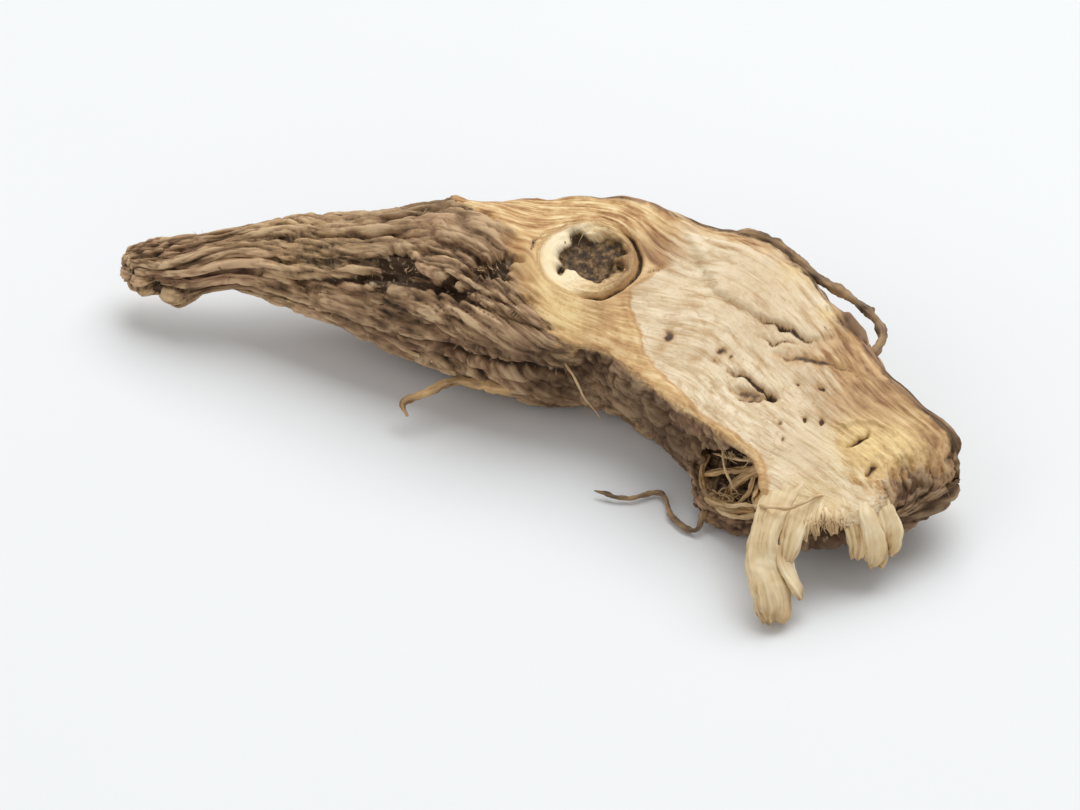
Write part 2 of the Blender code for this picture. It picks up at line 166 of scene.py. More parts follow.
# Cracks, slits and lines on the split face, seen from above: path, half width, depth and darkness
Mark = namedtuple("Mark", "name path width depth dark")
MARKS = (
    Mark("lobe_crack", (
        (12.2, 1.4), (13.0, 0.0), (14.4, -1.2), (15.6, -2.1), (17.0, -2.8),
    ), 0.13, 0.12, 0.5),
    Mark("lobe_crack_open", (
        (14.9, -1.6), (16.4, -2.5), (17.0, -2.8), (18.4, -3.8), (19.4, -4.1),
    ), 0.15, 0.25, 0.95),
    Mark("lobe_crack_low", ((15.2, -3.2), (16.0, -4.0), (17.3, -3.9), (18.4, -4.4)), 0.13, 0.15, 0.8),
    Mark("zone_line", (
        (16.0, -4.7), (17.4, -5.3), (18.8, -5.5), (20.4, -6.1), (22.4, -6.9),
    ), 0.34, 0.2, 0.78),
    Mark("long_slit", (
        (13.4, -6.0), (14.4, -6.6), (15.2, -7.2), (15.9, -7.9), (16.2, -8.4),
    ), 0.17, 0.45, 1.0),
    Mark("slit_floor", ((13.6, -7.6), (14.8, -8.0), (16.0, -8.3)), 0.55, 0.4, 0.7),
    Mark("short_slit", ((13.9, -8.2), (15.0, -8.5), (16.0, -8.3)), 0.15, 0.25, 0.85),
    Mark("patch_slit", ((21.0, -12.4), (21.7, -11.7), (22.4, -11.1)), 0.16, 0.5, 1.0),
    Mark("patch_slit_low", ((22.1, -14.1), (22.7, -13.4)), 0.17, 0.3, 0.85),
    Mark("patch_fold", ((20.3, -11.2), (21.2, -10.4), (22.6, -10.2), (24.0, -11.0)), 0.2, -0.22, 0.0),
    Mark("patch_fold_low", ((22.4, -12.2), (23.2, -12.8), (23.4, -13.8), (22.8, -14.6)), 0.2, -0.2, 0.0),
    Mark("scar_arc", ((0.6, 3.6), (0.9, 4.7), (1.9, 5.9)), 0.13, 0.18, 0.9),
    Mark("scar_end_line", ((8.2, 2.0), (8.9, 2.7), (9.8, 2.9)), 0.14, 0.15, 0.8),
    Mark("pith_line", ((9.8, 1.8), (11.2, -0.8), (12.4, -3.2), (13.8, -5.6)), 0.12, 0.06, 0.35),
    Mark("pith_line_far", (
        (11.4, 1.6), (12.6, -1.4), (14.2, -4.2), (16.2, -6.4), (18.2, -8.6),
    ), 0.12, 0.06, 0.34),
)
MARK_WANDER = 0.22
Pore = namedtuple("Pore", "x y radius depth dark")
PORES = [Pore(*values) for values in (
    (17.0, -2.8, 0.26, 0.5, 1.0), (16.2, -8.3, 0.36, 0.6, 1.0), (17.7, -7.4, 0.17, 0.1, 0.8),
    (19.4, -7.6, 0.19, 0.25, 1.0), (18.9, -8.9, 0.2, 0.08, 0.6), (18.3, -10.3, 0.2, 0.25, 1.0),
    (19.3, -10.4, 0.2, 0.25, 1.0), (16.7, -10.7, 0.2, 0.08, 0.75), (16.9, -11.9, 0.2, 0.08, 0.8),
    (12.7, -2.1, 0.22, 0.06, 0.55), (11.3, -4.9, 0.34, 0.08, 0.55), (13.0, -4.3, 0.34, 0.1, 0.8),
    (13.5, -4.8, 0.2, 0.1, 0.75), (12.6, -5.1, 0.18, 0.08, 0.7), (12.3, -7.7, 0.17, 0.06, 0.55),
    (9.5, -2.9, 0.44, 0.12, 0.85), (9.0, -3.9, 0.34, 0.06, 0.5), (27.6, -13.6, 0.36, 0.6, 1.0),
)]
LOBE = (
    (10.6, 5.6), (11.9, 2.6), (12.6, 0.6), (14.2, -1.0), (15.6, -2.2), (17.2, -3.0), (19.2, -4.2),
    (20.3, -3.4), (20.1, -0.8), (18.8, 1.6), (16.9, 3.5), (14.4, 4.7), (12.2, 5.4),
)
CREAM_WOOD = (
    (10.6, 6.0), (9.9, 3.5), (8.4, 1.8), (7.3, 0.8), (7.2, -0.4), (7.6, -1.8), (8.0, -3.8), (8.6, -5.1),
    (10.0, -7.1), (11.6, -9.3), (13.6, -11.2), (15.2, -12.6), (15.8, -14.2), (15.9, -16.6), (15.0, -23.0),
    (20.4, -23.0), (24.6, -20.0), (23.4, -15.2), (21.4, -14.6), (20.4, -12.4), (20.5, -9.6), (19.8, -7.4),
    (19.4, -6.2), (18.6, -5.4), (20.2, -4.2), (20.5, -2.4), (19.9, 0.0), (18.6, 1.9), (16.6, 3.6),
    (14.2, 4.7),
)

# Tones of the split face and the bark, each at places with their centre, their reach and how strong it is
TONES = {
    # The warm tone is the wood's own warm brown; its place at (7.3, 3.8, 9.6), on the scar ring's right side,
    # is painted shade.
    "warm": (
        ((8.9, 4.4, 9.6), 1.5, 1.2), ((8.0, 1.6, 9.2), 0.9, 0.6), ((7.3, 3.8, 9.6), 1.1, 0.8),
        ((6.6, 1.6, 9.4), 0.9, 0.5), ((22.4, -7.8, 7.8), 3.4, 1.3), ((26.4, -12.0, 5.8), 2.6, 1.0),
        ((20.9, -4.6, 8.4), 1.3, 1.0), ((4.6, -0.4, 8.9), 1.2, 0.5), ((24.6, -9.4, 7.0), 1.8, 0.7),
    ),
    "yellow": (
        ((21.9, -12.2, 6.9), 2.0, 1.2), ((2.6, -0.9, 8.6), 1.8, 0.9), ((24.2, -11.8, 6.6), 1.8, 1.0),
        ((17.9, 1.8, 9.4), 1.2, 0.5), ((19.0, -16.4, 5.6), 1.8, 0.6), ((1.2, 3.2, 9.3), 1.2, 0.6),
        ((1.9, 0.95, 8.9), 0.9, 0.9), ((20.0, -1.6, 8.8), 0.8, 0.7),
    ),
    "stain": (
        ((15.6, -2.6, 9.0), 1.7, 0.9), ((18.4, -4.8, 8.6), 1.1, 1.0), ((11.2, -0.2, 9.1), 1.2, 0.5),
        ((9.4, -3.6, 8.3), 1.0, 0.8), ((13.0, -4.7, 8.4), 1.0, 0.6), ((15.2, -8.0, 7.8), 0.8, 0.6),
        ((24.0, -12.6, 6.4), 2.0, 0.6), ((17.6, -5.2, 8.5), 1.3, 1.1), ((14.6, 2.6, 9.6), 1.4, 0.4),
        ((19.6, -9.2, 7.6), 1.6, 0.5), ((14.0, -0.4, 9.3), 1.6, 0.7), ((20.4, -3.6, 8.4), 1.5, 1.1),
        ((10.6, -4.8, 8.2), 0.9, 0.7), ((18.0, -12.6, 6.8), 1.6, 0.5), ((19.4, -16.6, 5.4), 1.4, 0.9),
        ((15.8, 0.8, 9.6), 3.2, 0.6),
    ),
    "pale": (
        ((-24.9, 8.7, 3.1), 0.9, 1.0), ((-22.5, 7.0, 2.8), 0.9, 1.0), ((-15.2, 5.4, 3.9), 1.1, 0.7),
        ((-12.4, 2.2, 4.4), 1.3, 0.6), ((-14.0, 7.6, 7.6), 4.5, 0.45), ((-6.0, 6.4, 9.8), 3.0, 0.3),
        ((0.4, 1.4, 9.0), 1.3, 0.7), ((-1.2, 6.4, 9.8), 1.8, 0.6),
    ),
    # The dusky tone: the bark's own darker brown, and painted shade on the near walls and undersides turned
    # from the light and under the torn web's arch.
    "dusky": (
        ((9.6, -8.2, 4.2), 5.0, 0.9), ((3.6, -5.0, 4.6), 4.2, 1.0), ((19.6, -14.6, 3.0), 4.0, 0.9),
        ((26.2, -15.2, 4.0), 3.2, 0.8), ((21.4, -2.2, 8.3), 1.4, 0.8), ((19.6, -17.6, 3.2), 2.0, 1.2),
        ((7.0, -6.0, 5.0), 2.6, 1.0), ((4.3, -4.0, 6.2), 2.0, 0.8), ((-9.0, 2.6, 3.4), 4.0, 0.3),
        ((28.4, -10.6, 5.6), 2.4, 0.7), ((-5.4, 11.2, 9.6), 4.5, 0.6),
    ),
}

# Crumbly places, the tail's broken tip and the crown's torn corner: centre, reach and strength
CRUMBLED = (((-25.6, 9.8, 3.2), 2.6, 1.0), ((25.6, -12.6, 5.4), 3.4, 0.7))

# Places along the crown's torn end where bare wood reaches over the rim
TORN_EDGE = (
    (16.9, -15.0, 5.6), (18.2, -17.0, 5.3), (20.4, -16.8, 5.2), (22.4, -15.8, 5.2), (23.6, -15.0, 5.0),
)

# Places past the tail where bark wraps over the rim: centre and reach
BARK_PATCHES = (((25.7, -15.0, 4.3), 2.6), ((28.2, -12.6, 4.6), 1.4), ((21.4, -2.2, 8.3), 1.1))

# Torn strips: each point's place, width and thickness, then the twist and how deeply they are ribbed. A
# height of DRAPED lays the point on the body.
DRAPED = -1.0
DRAPED_DEPTHS = (0.5, 0.14, 0.04)  # how deep under the body's skin a strip's first three points lie
Strip = namedtuple("Strip", "name path twist ribs")
STRIPS = (
    Strip("long_strip", (
        (18.0, -11.6, DRAPED, 1.0, 0.6), (17.4, -13.6, DRAPED, 2.2, 0.9),
        (16.8, -15.4, DRAPED, 2.5, 1.0), (16.1, -17.0, 5.4, 2.1, 1.1), (15.5, -18.6, 4.6, 2.0, 1.1),
        (15.4, -19.7, 3.4, 2.3, 1.15), (15.8, -20.8, 2.2, 2.6, 1.25), (16.1, -21.6, 1.2, 2.4, 1.2),
        (16.1, -22.1, 0.7, 1.5, 0.9),
    ), 0.15, 0.6),
    Strip("short_strip", (
        (19.0, -12.0, DRAPED, 0.8, 0.5), (18.6, -14.4, DRAPED, 1.6, 0.7),
        (18.1, -16.3, DRAPED, 1.7, 0.7), (17.5, -17.9, 5.0, 1.6, 0.65), (17.1, -18.9, 4.2, 1.4, 0.6),
        (16.9, -19.5, 3.5, 0.9, 0.5),
    ), 0.4, 0.9),
    Strip("short_strip_foot", (
        (16.7, -18.8, 4.2, 0.7, 0.4), (16.8, -19.4, 3.6, 1.2, 0.5), (17.1, -20.0, 2.9, 1.35, 0.55),
        (17.6, -20.6, 2.2, 1.3, 0.5), (17.9, -21.0, 1.6, 0.7, 0.35),
    ), 0.7, 0.9),
    Strip("inner_finger", (
        (20.0, -12.4, DRAPED, 0.8, 0.5), (20.4, -14.6, DRAPED, 1.3, 0.8), (20.9, -16.1, 5.0, 1.4, 0.8),
        (21.3, -17.1, 4.1, 1.4, 0.8), (21.5, -17.7, 3.2, 1.3, 0.8), (21.5, -18.0, 2.6, 0.9, 0.6),
    ), 0.3, 1.0),
    Strip("middle_finger", (
        (21.8, -14.0, DRAPED, 0.3, 0.4), (22.0, -15.4, DRAPED, 0.7, 0.6), (22.1, -16.5, 4.7, 1.3, 0.9),
        (22.5, -17.3, 3.6, 1.7, 1.0), (22.7, -17.8, 2.4, 1.6, 1.0), (22.7, -17.9, 1.7, 1.0, 0.7),
    ), -0.2, 1.0),
    Strip("outer_finger", (
        (22.7, -13.4, DRAPED, 0.3, 0.4), (23.0, -14.7, DRAPED, 0.7, 0.6), (23.3, -15.9, 4.7, 1.3, 0.9),
        (23.7, -16.6, 3.7, 1.5, 1.0), (23.8, -17.0, 2.7, 1.3, 0.9), (23.7, -17.1, 2.1, 0.8, 0.6),
    ), -0.5, 1.0),
    Strip("web_tooth_1", (
        (18.9, -13.4, DRAPED, 0.6, 0.4), (18.5, -16.0, DRAPED, 0.9, 0.5), (18.2, -17.5, 5.1, 0.8, 0.5),
        (18.1, -18.3, 4.3, 0.4, 0.3),
    ), 0.2, 1.0),
    Strip("web_tooth_2", (
        (19.2, -12.8, DRAPED, 0.6, 0.4), (18.9, -16.0, DRAPED, 1.0, 0.5),
        (18.7, -17.3, 5.15, 0.9, 0.5), (18.9, -18.2, 4.5, 0.4, 0.3),
    ), -0.3, 1.0),
    Strip("web_tooth_3", (
        (19.5, -13.2, DRAPED, 0.6, 0.4), (19.4, -16.0, DRAPED, 0.9, 0.5),
        (19.5, -17.2, 5.25, 0.6, 0.4), (19.4, -17.5, 4.8, 0.4, 0.3),
    ), 0.4, 1.0),
    Strip("web_tooth_4", (
        (19.9, -12.6, DRAPED, 0.6, 0.4), (19.9, -15.8, DRAPED, 0.9, 0.5),
        (19.8, -17.1, 5.05, 1.1, 0.5), (20.0, -17.9, 4.4, 0.5, 0.3),
    ), -0.2, 1.0),
    Strip("web_tooth_5", (
        (20.2, -13.0, DRAPED, 0.6, 0.4), (20.4, -15.6, DRAPED, 0.8, 0.5),
        (20.6, -16.8, 5.05, 0.7, 0.4), (20.6, -17.4, 4.5, 0.4, 0.3),
    ), 0.3, 1.0),
)
POCKET_STRIPS = (
    Strip("pocket_bundle", (
        (16.9, -13.6, 6.5, 0.8, 0.5), (16.0, -13.7, 6.2, 1.1, 0.6), (15.3, -13.3, 5.8, 0.9, 0.5),
        (14.4, -12.5, 4.6, 0.8, 0.45), (13.6, -11.8, 3.0, 0.5, 0.4), (13.1, -12.2, 2.2, 0.4, 0.3),
    ), 0.9, 1.6),
    Strip("pocket_bundle_split", (
        (15.6, -13.4, 5.9, 0.4, 0.3), (14.6, -12.3, 5.0, 0.6, 0.3), (13.4, -11.1, 3.9, 0.4, 0.25),
        (11.8, -9.7, 2.4, 0.3, 0.2),
    ), 0.5, 1.6),
    Strip("pocket_bundle_low", (
        (15.0, -13.3, 5.2, 0.3, 0.3), (14.6, -13.5, 4.0, 0.5, 0.3), (13.9, -13.2, 2.9, 0.4, 0.25),
        (13.4, -12.9, 2.2, 0.3, 0.2),
    ), -0.6, 1.6),
    Strip("pocket_rim_left", (
        (12.1, -8.9, 3.4, 0.4, 0.4), (11.7, -9.8, 2.5, 0.5, 0.5), (12.0, -11.2, 2.0, 0.7, 0.6),
        (13.1, -12.6, 2.2, 0.8, 0.6), (14.3, -13.6, 2.8, 0.6, 0.5), (15.0, -14.2, 3.2, 0.4, 0.4),
    ), 0.5, 1.6),
    Strip("pocket_wall_strand", (
        (17.4, -13.6, 6.4, 0.9, 0.6), (16.9, -15.0, 5.8, 1.3, 0.7), (16.5, -15.9, 4.8, 1.3, 0.7),
        (15.8, -16.3, 3.8, 0.9, 0.6), (15.2, -15.6, 2.8, 0.7, 0.5),
    ), 0.3, 1.4),
)
LIP_STRIPS = (
    Strip("pocket_floor", (
        (11.6, -6.6, 1.8, 2.2, 2.2), (13.2, -9.2, 1.4, 3.0, 2.4), (15.8, -10.6, 1.7, 3.2, 2.6),
        (19.2, -11.4, 2.6, 2.6, 2.4),
    ), 0.2, 1.0),
    Strip("pocket_lip", (
        (12.4, -6.6, 2.4, 2.4, 2.0), (12.2, -9.6, 1.5, 2.6, 2.1), (13.0, -11.7, 1.2, 2.5, 2.0),
        (15.4, -12.9, 1.5, 2.6, 2.2), (18.8, -12.4, 3.0, 2.8, 2.4),
    ), 0.4, 1.0),
)

# Thin round pieces: points and the radius at both ends
Rootlet = namedtuple("Rootlet", "name path thick thin")
ROOTLETS = (
    Rootlet("looped_rootlet", (
        (12.6, 4.6, 8.6), (13.9, 5.7, 9.55), (15.3, 5.8, 9.65), (16.6, 5.1, 9.5), (17.9, 3.8, 9.3),
        (19.2, 2.2, 9.1), (20.4, 1.2, 8.9), (21.4, 0.5, 8.7), (22.3, -0.4, 8.5), (23.1, -1.5, 8.35),
        (23.4, -2.8, 8.15), (23.0, -3.9, 8.0), (22.0, -4.8, 7.6),
    ), 0.33, 0.32),
    Rootlet("hooked_rootlet", (
        (3.5, 1.6, 3.2), (-0.2, -1.7, 3.0), (-2.4, -1.4, 2.9), (-4.4, -1.0, 2.9), (-6.5, -1.9, 2.5),
        (-7.6, -2.2, 2.1), (-7.3, -2.9, 1.5),
    ), 0.42, 0.24),
    Rootlet("fine_rootlet", (
        (13.0, -9.4, 2.6), (11.9, -11.9, 1.2), (11.3, -13.1, 0.5), (9.8, -11.6, 0.4), (9.1, -9.3, 0.4),
        (7.0, -9.8, 0.4), (4.8, -9.2, 0.6),
    ), 0.21, 0.14),
)
FIBRES = (
    Rootlet("crossing_fibre", (
        (12.9, -12.4, 2.2), (13.6, -14.0, 3.4), (14.8, -15.9, 5.0), (15.9, -17.4, 6.2),
        (17.4, -17.4, 6.2), (18.8, -16.3, 6.1), (19.5, -15.6, 5.7),
    ), 0.13, 0.11),
    Rootlet("hanging_fibre", (
        (13.0, -10.8, 5.9), (13.1, -11.9, 5.0), (13.5, -12.6, 4.2), (14.0, -12.6, 3.2),
    ), 0.1, 0.07),
    Rootlet("upper_fibre", (
        (16.4, -13.2, 6.3), (15.0, -12.4, 5.8), (13.6, -11.2, 5.0), (12.4, -9.8, 4.2),
    ), 0.12, 0.09),
    Rootlet("low_fibre", (
        (12.0, -10.2, 2.0), (12.8, -12.6, 1.9), (14.4, -14.2, 2.6), (16.4, -14.6, 4.0),
    ), 0.16, 0.18),
    Rootlet("bark_peel", (
        (-8.8, 2.6, 3.8), (-7.2, 1.7, 3.2), (-5.6, 0.9, 3.0), (-4.5, 0.3, 2.9), (-4.1, -0.6, 2.9),
    ), 0.16, 0.2),
    Rootlet("bark_fibre", (
        (2.7, -2.6, 6.3), (3.4, -3.6, 5.6), (4.1, -4.4, 4.6), (4.6, -4.2, 3.5), (5.3, -4.6, 2.7),
    ), 0.09, 0.05),
)

# Short fibres that fray a torn edge: the ends of the edge, how many, their length, the way they point,
# how far they stray from it and their radius
Fray = namedtuple("Fray", "name start end count length way stray radius")
FRAYS = (
    Fray("torn_web", (18.0, -17.7, 5.2), (20.8, -17.3, 4.9), 40, 0.8, (0.0, -0.5, -0.9), 0.5, 0.06),
    Fray("long_strip_tip", (15.5, -21.9, 1.0), (16.8, -22.0, 0.9), 12, 0.4, (0.0, -0.4, -0.8), 0.35, 0.06),
    Fray("finger_tips", (21.2, -17.9, 2.9), (23.8, -17.2, 2.5), 20, 0.45, (0.0, -0.3, -0.9), 0.4, 0.06),
    Fray("pocket_floor", (12.4, -11.4, 2.4), (15.4, -13.8, 3.0), 24, 1.0, (0.6, -0.4, 0.3), 0.7, 0.05),
    Fray("pocket_roof", (12.8, -10.4, 5.0), (15.6, -13.2, 6.3), 18, 0.9, (0.3, -0.3, -0.8), 0.5, 0.045),
    Fray("tail_pits", (-8.6, 3.4, 8.6), (-1.2, 2.6, 9.4), 30, 0.5, (0.6, -0.3, 0.1), 0.9, 0.035),
)
SCAR_FIBRES = 44
SCAR_FIBRE_RADIUS = 0.045

# How high the fine relief stands on each kind of piece, and its seed
Relief = namedtuple("Relief", "ridges wrinkles crumbs grain seed")
BODY_RELIEF = Relief(0.34, 0.16, 0.35, 0.03, 3.0)
STRIP_RELIEF = Relief(0.07, 0.07, 0.08, 0.04, 5.0)
POCKET_RELIEF = Relief(0.14, 0.14, 0.2, 0.04, 5.0)
LIP_RELIEF = Relief(0.3, 0.3, 0.9, 0.05, 9.0)

# Fine hairs on the bark: how many to a square metre, their length and thickness
HAIR_DENSITY, HAIR_LENGTH, HAIR_THICKNESS = 70000.0, 0.7, 0.03

WOOD_SHINE = 0.35  # the specular level of bark and wood


class Term:
    """An output of a node tree that sums and products can be written with."""

    def __init__(self, plan, socket):
        self.plan, self.socket = plan, socket

    def __add__(self, other):
        return self.plan.math("ADD", self, other)

    def __sub__(self, other):
        return self.plan.math("SUBTRACT", self, other)

    def __rsub__(self, other):
        return self.plan.math("SUBTRACT", other, self)

    def __mul__(self, other):
        return self.plan.math("MULTIPLY", self, other)

    def __truediv__(self, other):
        return self.plan.math("DIVIDE", self, other)

    def __pow__(self, other):
        return self.plan.math("POWER", self, other)

    def __abs__(self):
        return self.plan.math("ABSOLUTE", self)

    __radd__, __rmul__ = __add__, __mul__

    def held(self, low=0.0, high=1.0):
        """The value kept between low and high."""
        return self.plan.math("MINIMUM", self.plan.math("MAXIMUM", self, low), high)

    def or_more(self, other):
        """The greater of the value and other."""
        return self.plan.math("MAXIMUM", self, other)


class Plan:
    """A node tree that is being built, of shader or geometry nodes."""

    def __init__(self, tree):
        self.tree = tree

    def add(self, kind, settings=None, inputs=None):
        """A node: its settings are set first, then its sockets, by name or number, to values or links."""
        node = self.tree.nodes.new(kind)
        for name, value in (settings or {}).items():
            if name == "stops":
                set_stops(node.color_ramp, value)
            else:
                setattr(node, name, value)
        for name, value in (inputs or {}).items():
            self.feed(node.inputs[name], value)
        return node

    def feed(self, socket, value):
        """Links value to socket, or sets it there."""
        if isinstance(value, Term):
            self.tree.links.new(value.socket, socket)
        else:
            socket.default_value = value

    def out(self, kind, settings=None, inputs=None, output=0):
        """One output of a new node."""
        return Term(self, self.add(kind, settings, inputs).outputs[output])

    def math(self, operation, *values):
        """A Math node of these values."""
        return self.out("ShaderNodeMath", {"operation": operation}, dict(enumerate(values)))

    def vector(self, operation, *values, output=0):
        """A Vector Math node of these values."""
        return self.out("ShaderNodeVectorMath", {"operation": operation}, dict(enumerate(values)), output)

    def scaled(self, vector, factor):
        """A vector times one number."""
        return self.out("ShaderNodeVectorMath", {"operation": "SCALE"}, {0: vector, "Scale": factor})

    def mixed(self, factor, first, second):
        """A colour between first, at 0, and second, at 1."""
        return self.out("ShaderNodeMix", {"data_type": "RGBA"}, {0: factor, 6: first, 7: second}, 2)

    def noise(self, vector, scale, detail=2.0, roughness=0.5, output=0, stretch=None):
        """Smooth random values of 0 to 1, or random vectors as output 1; stretch multiplies vector first."""
        if stretch:
            vector = self.vector("MULTIPLY", vector, stretch)
        inputs = {"Vector": vector, "Scale": scale, "Detail": detail, "Roughness": roughness}
        return self.out("ShaderNodeTexNoise", None, inputs, output)

    def steps(self, value, *stops):
        """A colour ramp over value: each stop is a place and a colour."""
        return self.out("ShaderNodeValToRGB", {"stops": stops}, {0: value})

    def read(self, name, kind="FLOAT"):
        """An attribute of the mesh, in a geometry tree."""
        return self.out("GeometryNodeInputNamedAttribute", {"data_type": kind}, {"Name": name})

    def stored(self, geometry, name, value, kind="FLOAT"):
        """The geometry with value kept as an attribute of its points."""
        settings = {"data_type": kind, "domain": "POINT"}
        inputs = {"Geometry": geometry, "Name": name, "Value": value}
        return self.out("GeometryNodeStoreNamedAttribute", settings, inputs)

    def moved(self, geometry, offset):
        """The geometry with its points moved by offset."""
        return self.out("GeometryNodeSetPosition", None, {"Geometry": geometry, "Offset": offset})

    def above_floor(self, geometry):
        """The geometry with no point below the floor."""
        lowest = self.vector("MAXIMUM", self.out("GeometryNodeInputPosition"), (-1.0, -1.0, 0.0))
        return self.out("GeometryNodeSetPosition", None, {"Geometry": geometry, "Position": lowest})

    def smooth(self, geometry):
        """The geometry with smooth faces."""
        return self.out("GeometryNodeSetShadeSmooth", None, {"Geometry": geometry})

    def end_with(self, geometry, finish):
        """Ends a geometry tree with the geometry made whole and given its finish."""
        whole = self.out("GeometryNodeRealizeInstances", None, {"Geometry": geometry})
        done = self.out("GeometryNodeSetMaterial", None, {"Geometry": whole, "Material": finish})
        self.add("NodeGroupOutput", None, {0: done})


def set_stops(ramp, stops):
    """Gives a colour ramp these stops, each a place and a colour."""
    while len(ramp.elements) < len(stops):
        ramp.elements.new(1.0)
    for element, (place, colour) in zip(ramp.elements, stops):
        element.position, element.color = place, colour


def shade(red, green, blue):
    """A colour from its 0 to 255 values in a picture."""
    parts = [value / 255 for value in (red, green, blue)]
    return (*[p / 12.92 if p <= 0.04045 else ((p + 0.055) / 1.055) ** 2.4 for p in parts], 1.0)


def mottle(points, size, seed=0):
    """Smooth random values from -1 to 1 that change over about size millimetres."""
    place = points / size + 31.7 * seed
    cell = np.floor(place).astype(np.int64)
    part = place - cell
    part = part * part * (3 - 2 * part)
    total = np.zeros(points.shape[:-1])
    for corner in product((0, 1), repeat=3):
        x, y, z = np.moveaxis(cell + np.array(corner), -1, 0)
        code = x * 374761393 + y * 668265263 + z * 1274126177 + seed * 97
        code = (code ^ (code >> 13)) * 1103515245
        value = ((code ^ (code >> 16)) & 0xFFFF) / 0x8000 - 1.0
        total += value * np.prod(np.where(corner, part, 1 - part), axis=-1)
    return total


def smooth_through(points, shares):
    """Rows on a smooth curve through the rows of points, at these shares of its length or evenly spaced."""
    rows = np.array(points, float)
    padded = np.vstack([2 * rows[0] - rows[1], rows, 2 * rows[-1] - rows[-2]])
    fine = []
    for before, start, end, after in zip(padded, padded[1:], padded[2:], padded[3:]):
        for t in np.linspace(0.0, 1.0, 24, endpoint=False):
            fine.append(
                0.5
                * (
                    2 * start
                    + (end - before) * t
                    + (2 * before - 5 * start + 4 * end - after) * t**2
                    + (3 * start - before - 3 * end + after) * t**3
                )
            )
    fine = np.array(fine + [rows[-1]])
    steps = np.linalg.norm(np.diff(fine[:, :3], axis=0), axis=1)
    along = np.concatenate([[0.0], np.cumsum(steps)])
    wanted = along[-1] * (np.linspace(0.0, 1.0, shares) if np.isscalar(shares) else shares)
    return np.column_stack([np.interp(wanted, along, column) for column in fine.T])


def row_shares():
    """How far along the body each row stands, from 0 to 1."""
    even = np.linspace(0.0, 1.0, ROWS)
    return even + CROWN_CROWDING * (even - even * even)


def section_rows():
    """The body's sections as rows: middle, half span from far to near, rise, drop and squareness."""
    keys = []
    for section in TAIL_TO_CROWN:
        far, near = np.array(section.far), np.array(section.near)
        keys.append([*(far + near) / 2, *(near - far) / 2, section.rise, section.drop, section.squareness])
    return smooth_through(keys, row_shares())


def under_angles(reach, drop, squareness):
    """Angles under one section, evenly spaced along its arc but closer together on the near side."""
    fine = np.linspace(math.pi, 2 * math.pi, 1200)
    side = reach * np.sign(np.cos(fine)) * np.abs(np.cos(fine)) ** squareness
    lift = drop * np.abs(np.sin(fine)) ** squareness
    along = np.concatenate([[0.0], np.cumsum(np.hypot(np.diff(side), np.diff(lift)))])
    share = np.linspace(0.0, 1.0, UNDER_COLUMNS, endpoint=False)
    share = share + NEAR_CROWDING * (share * share - share)
    return np.interp(share * along[-1], along, fine)


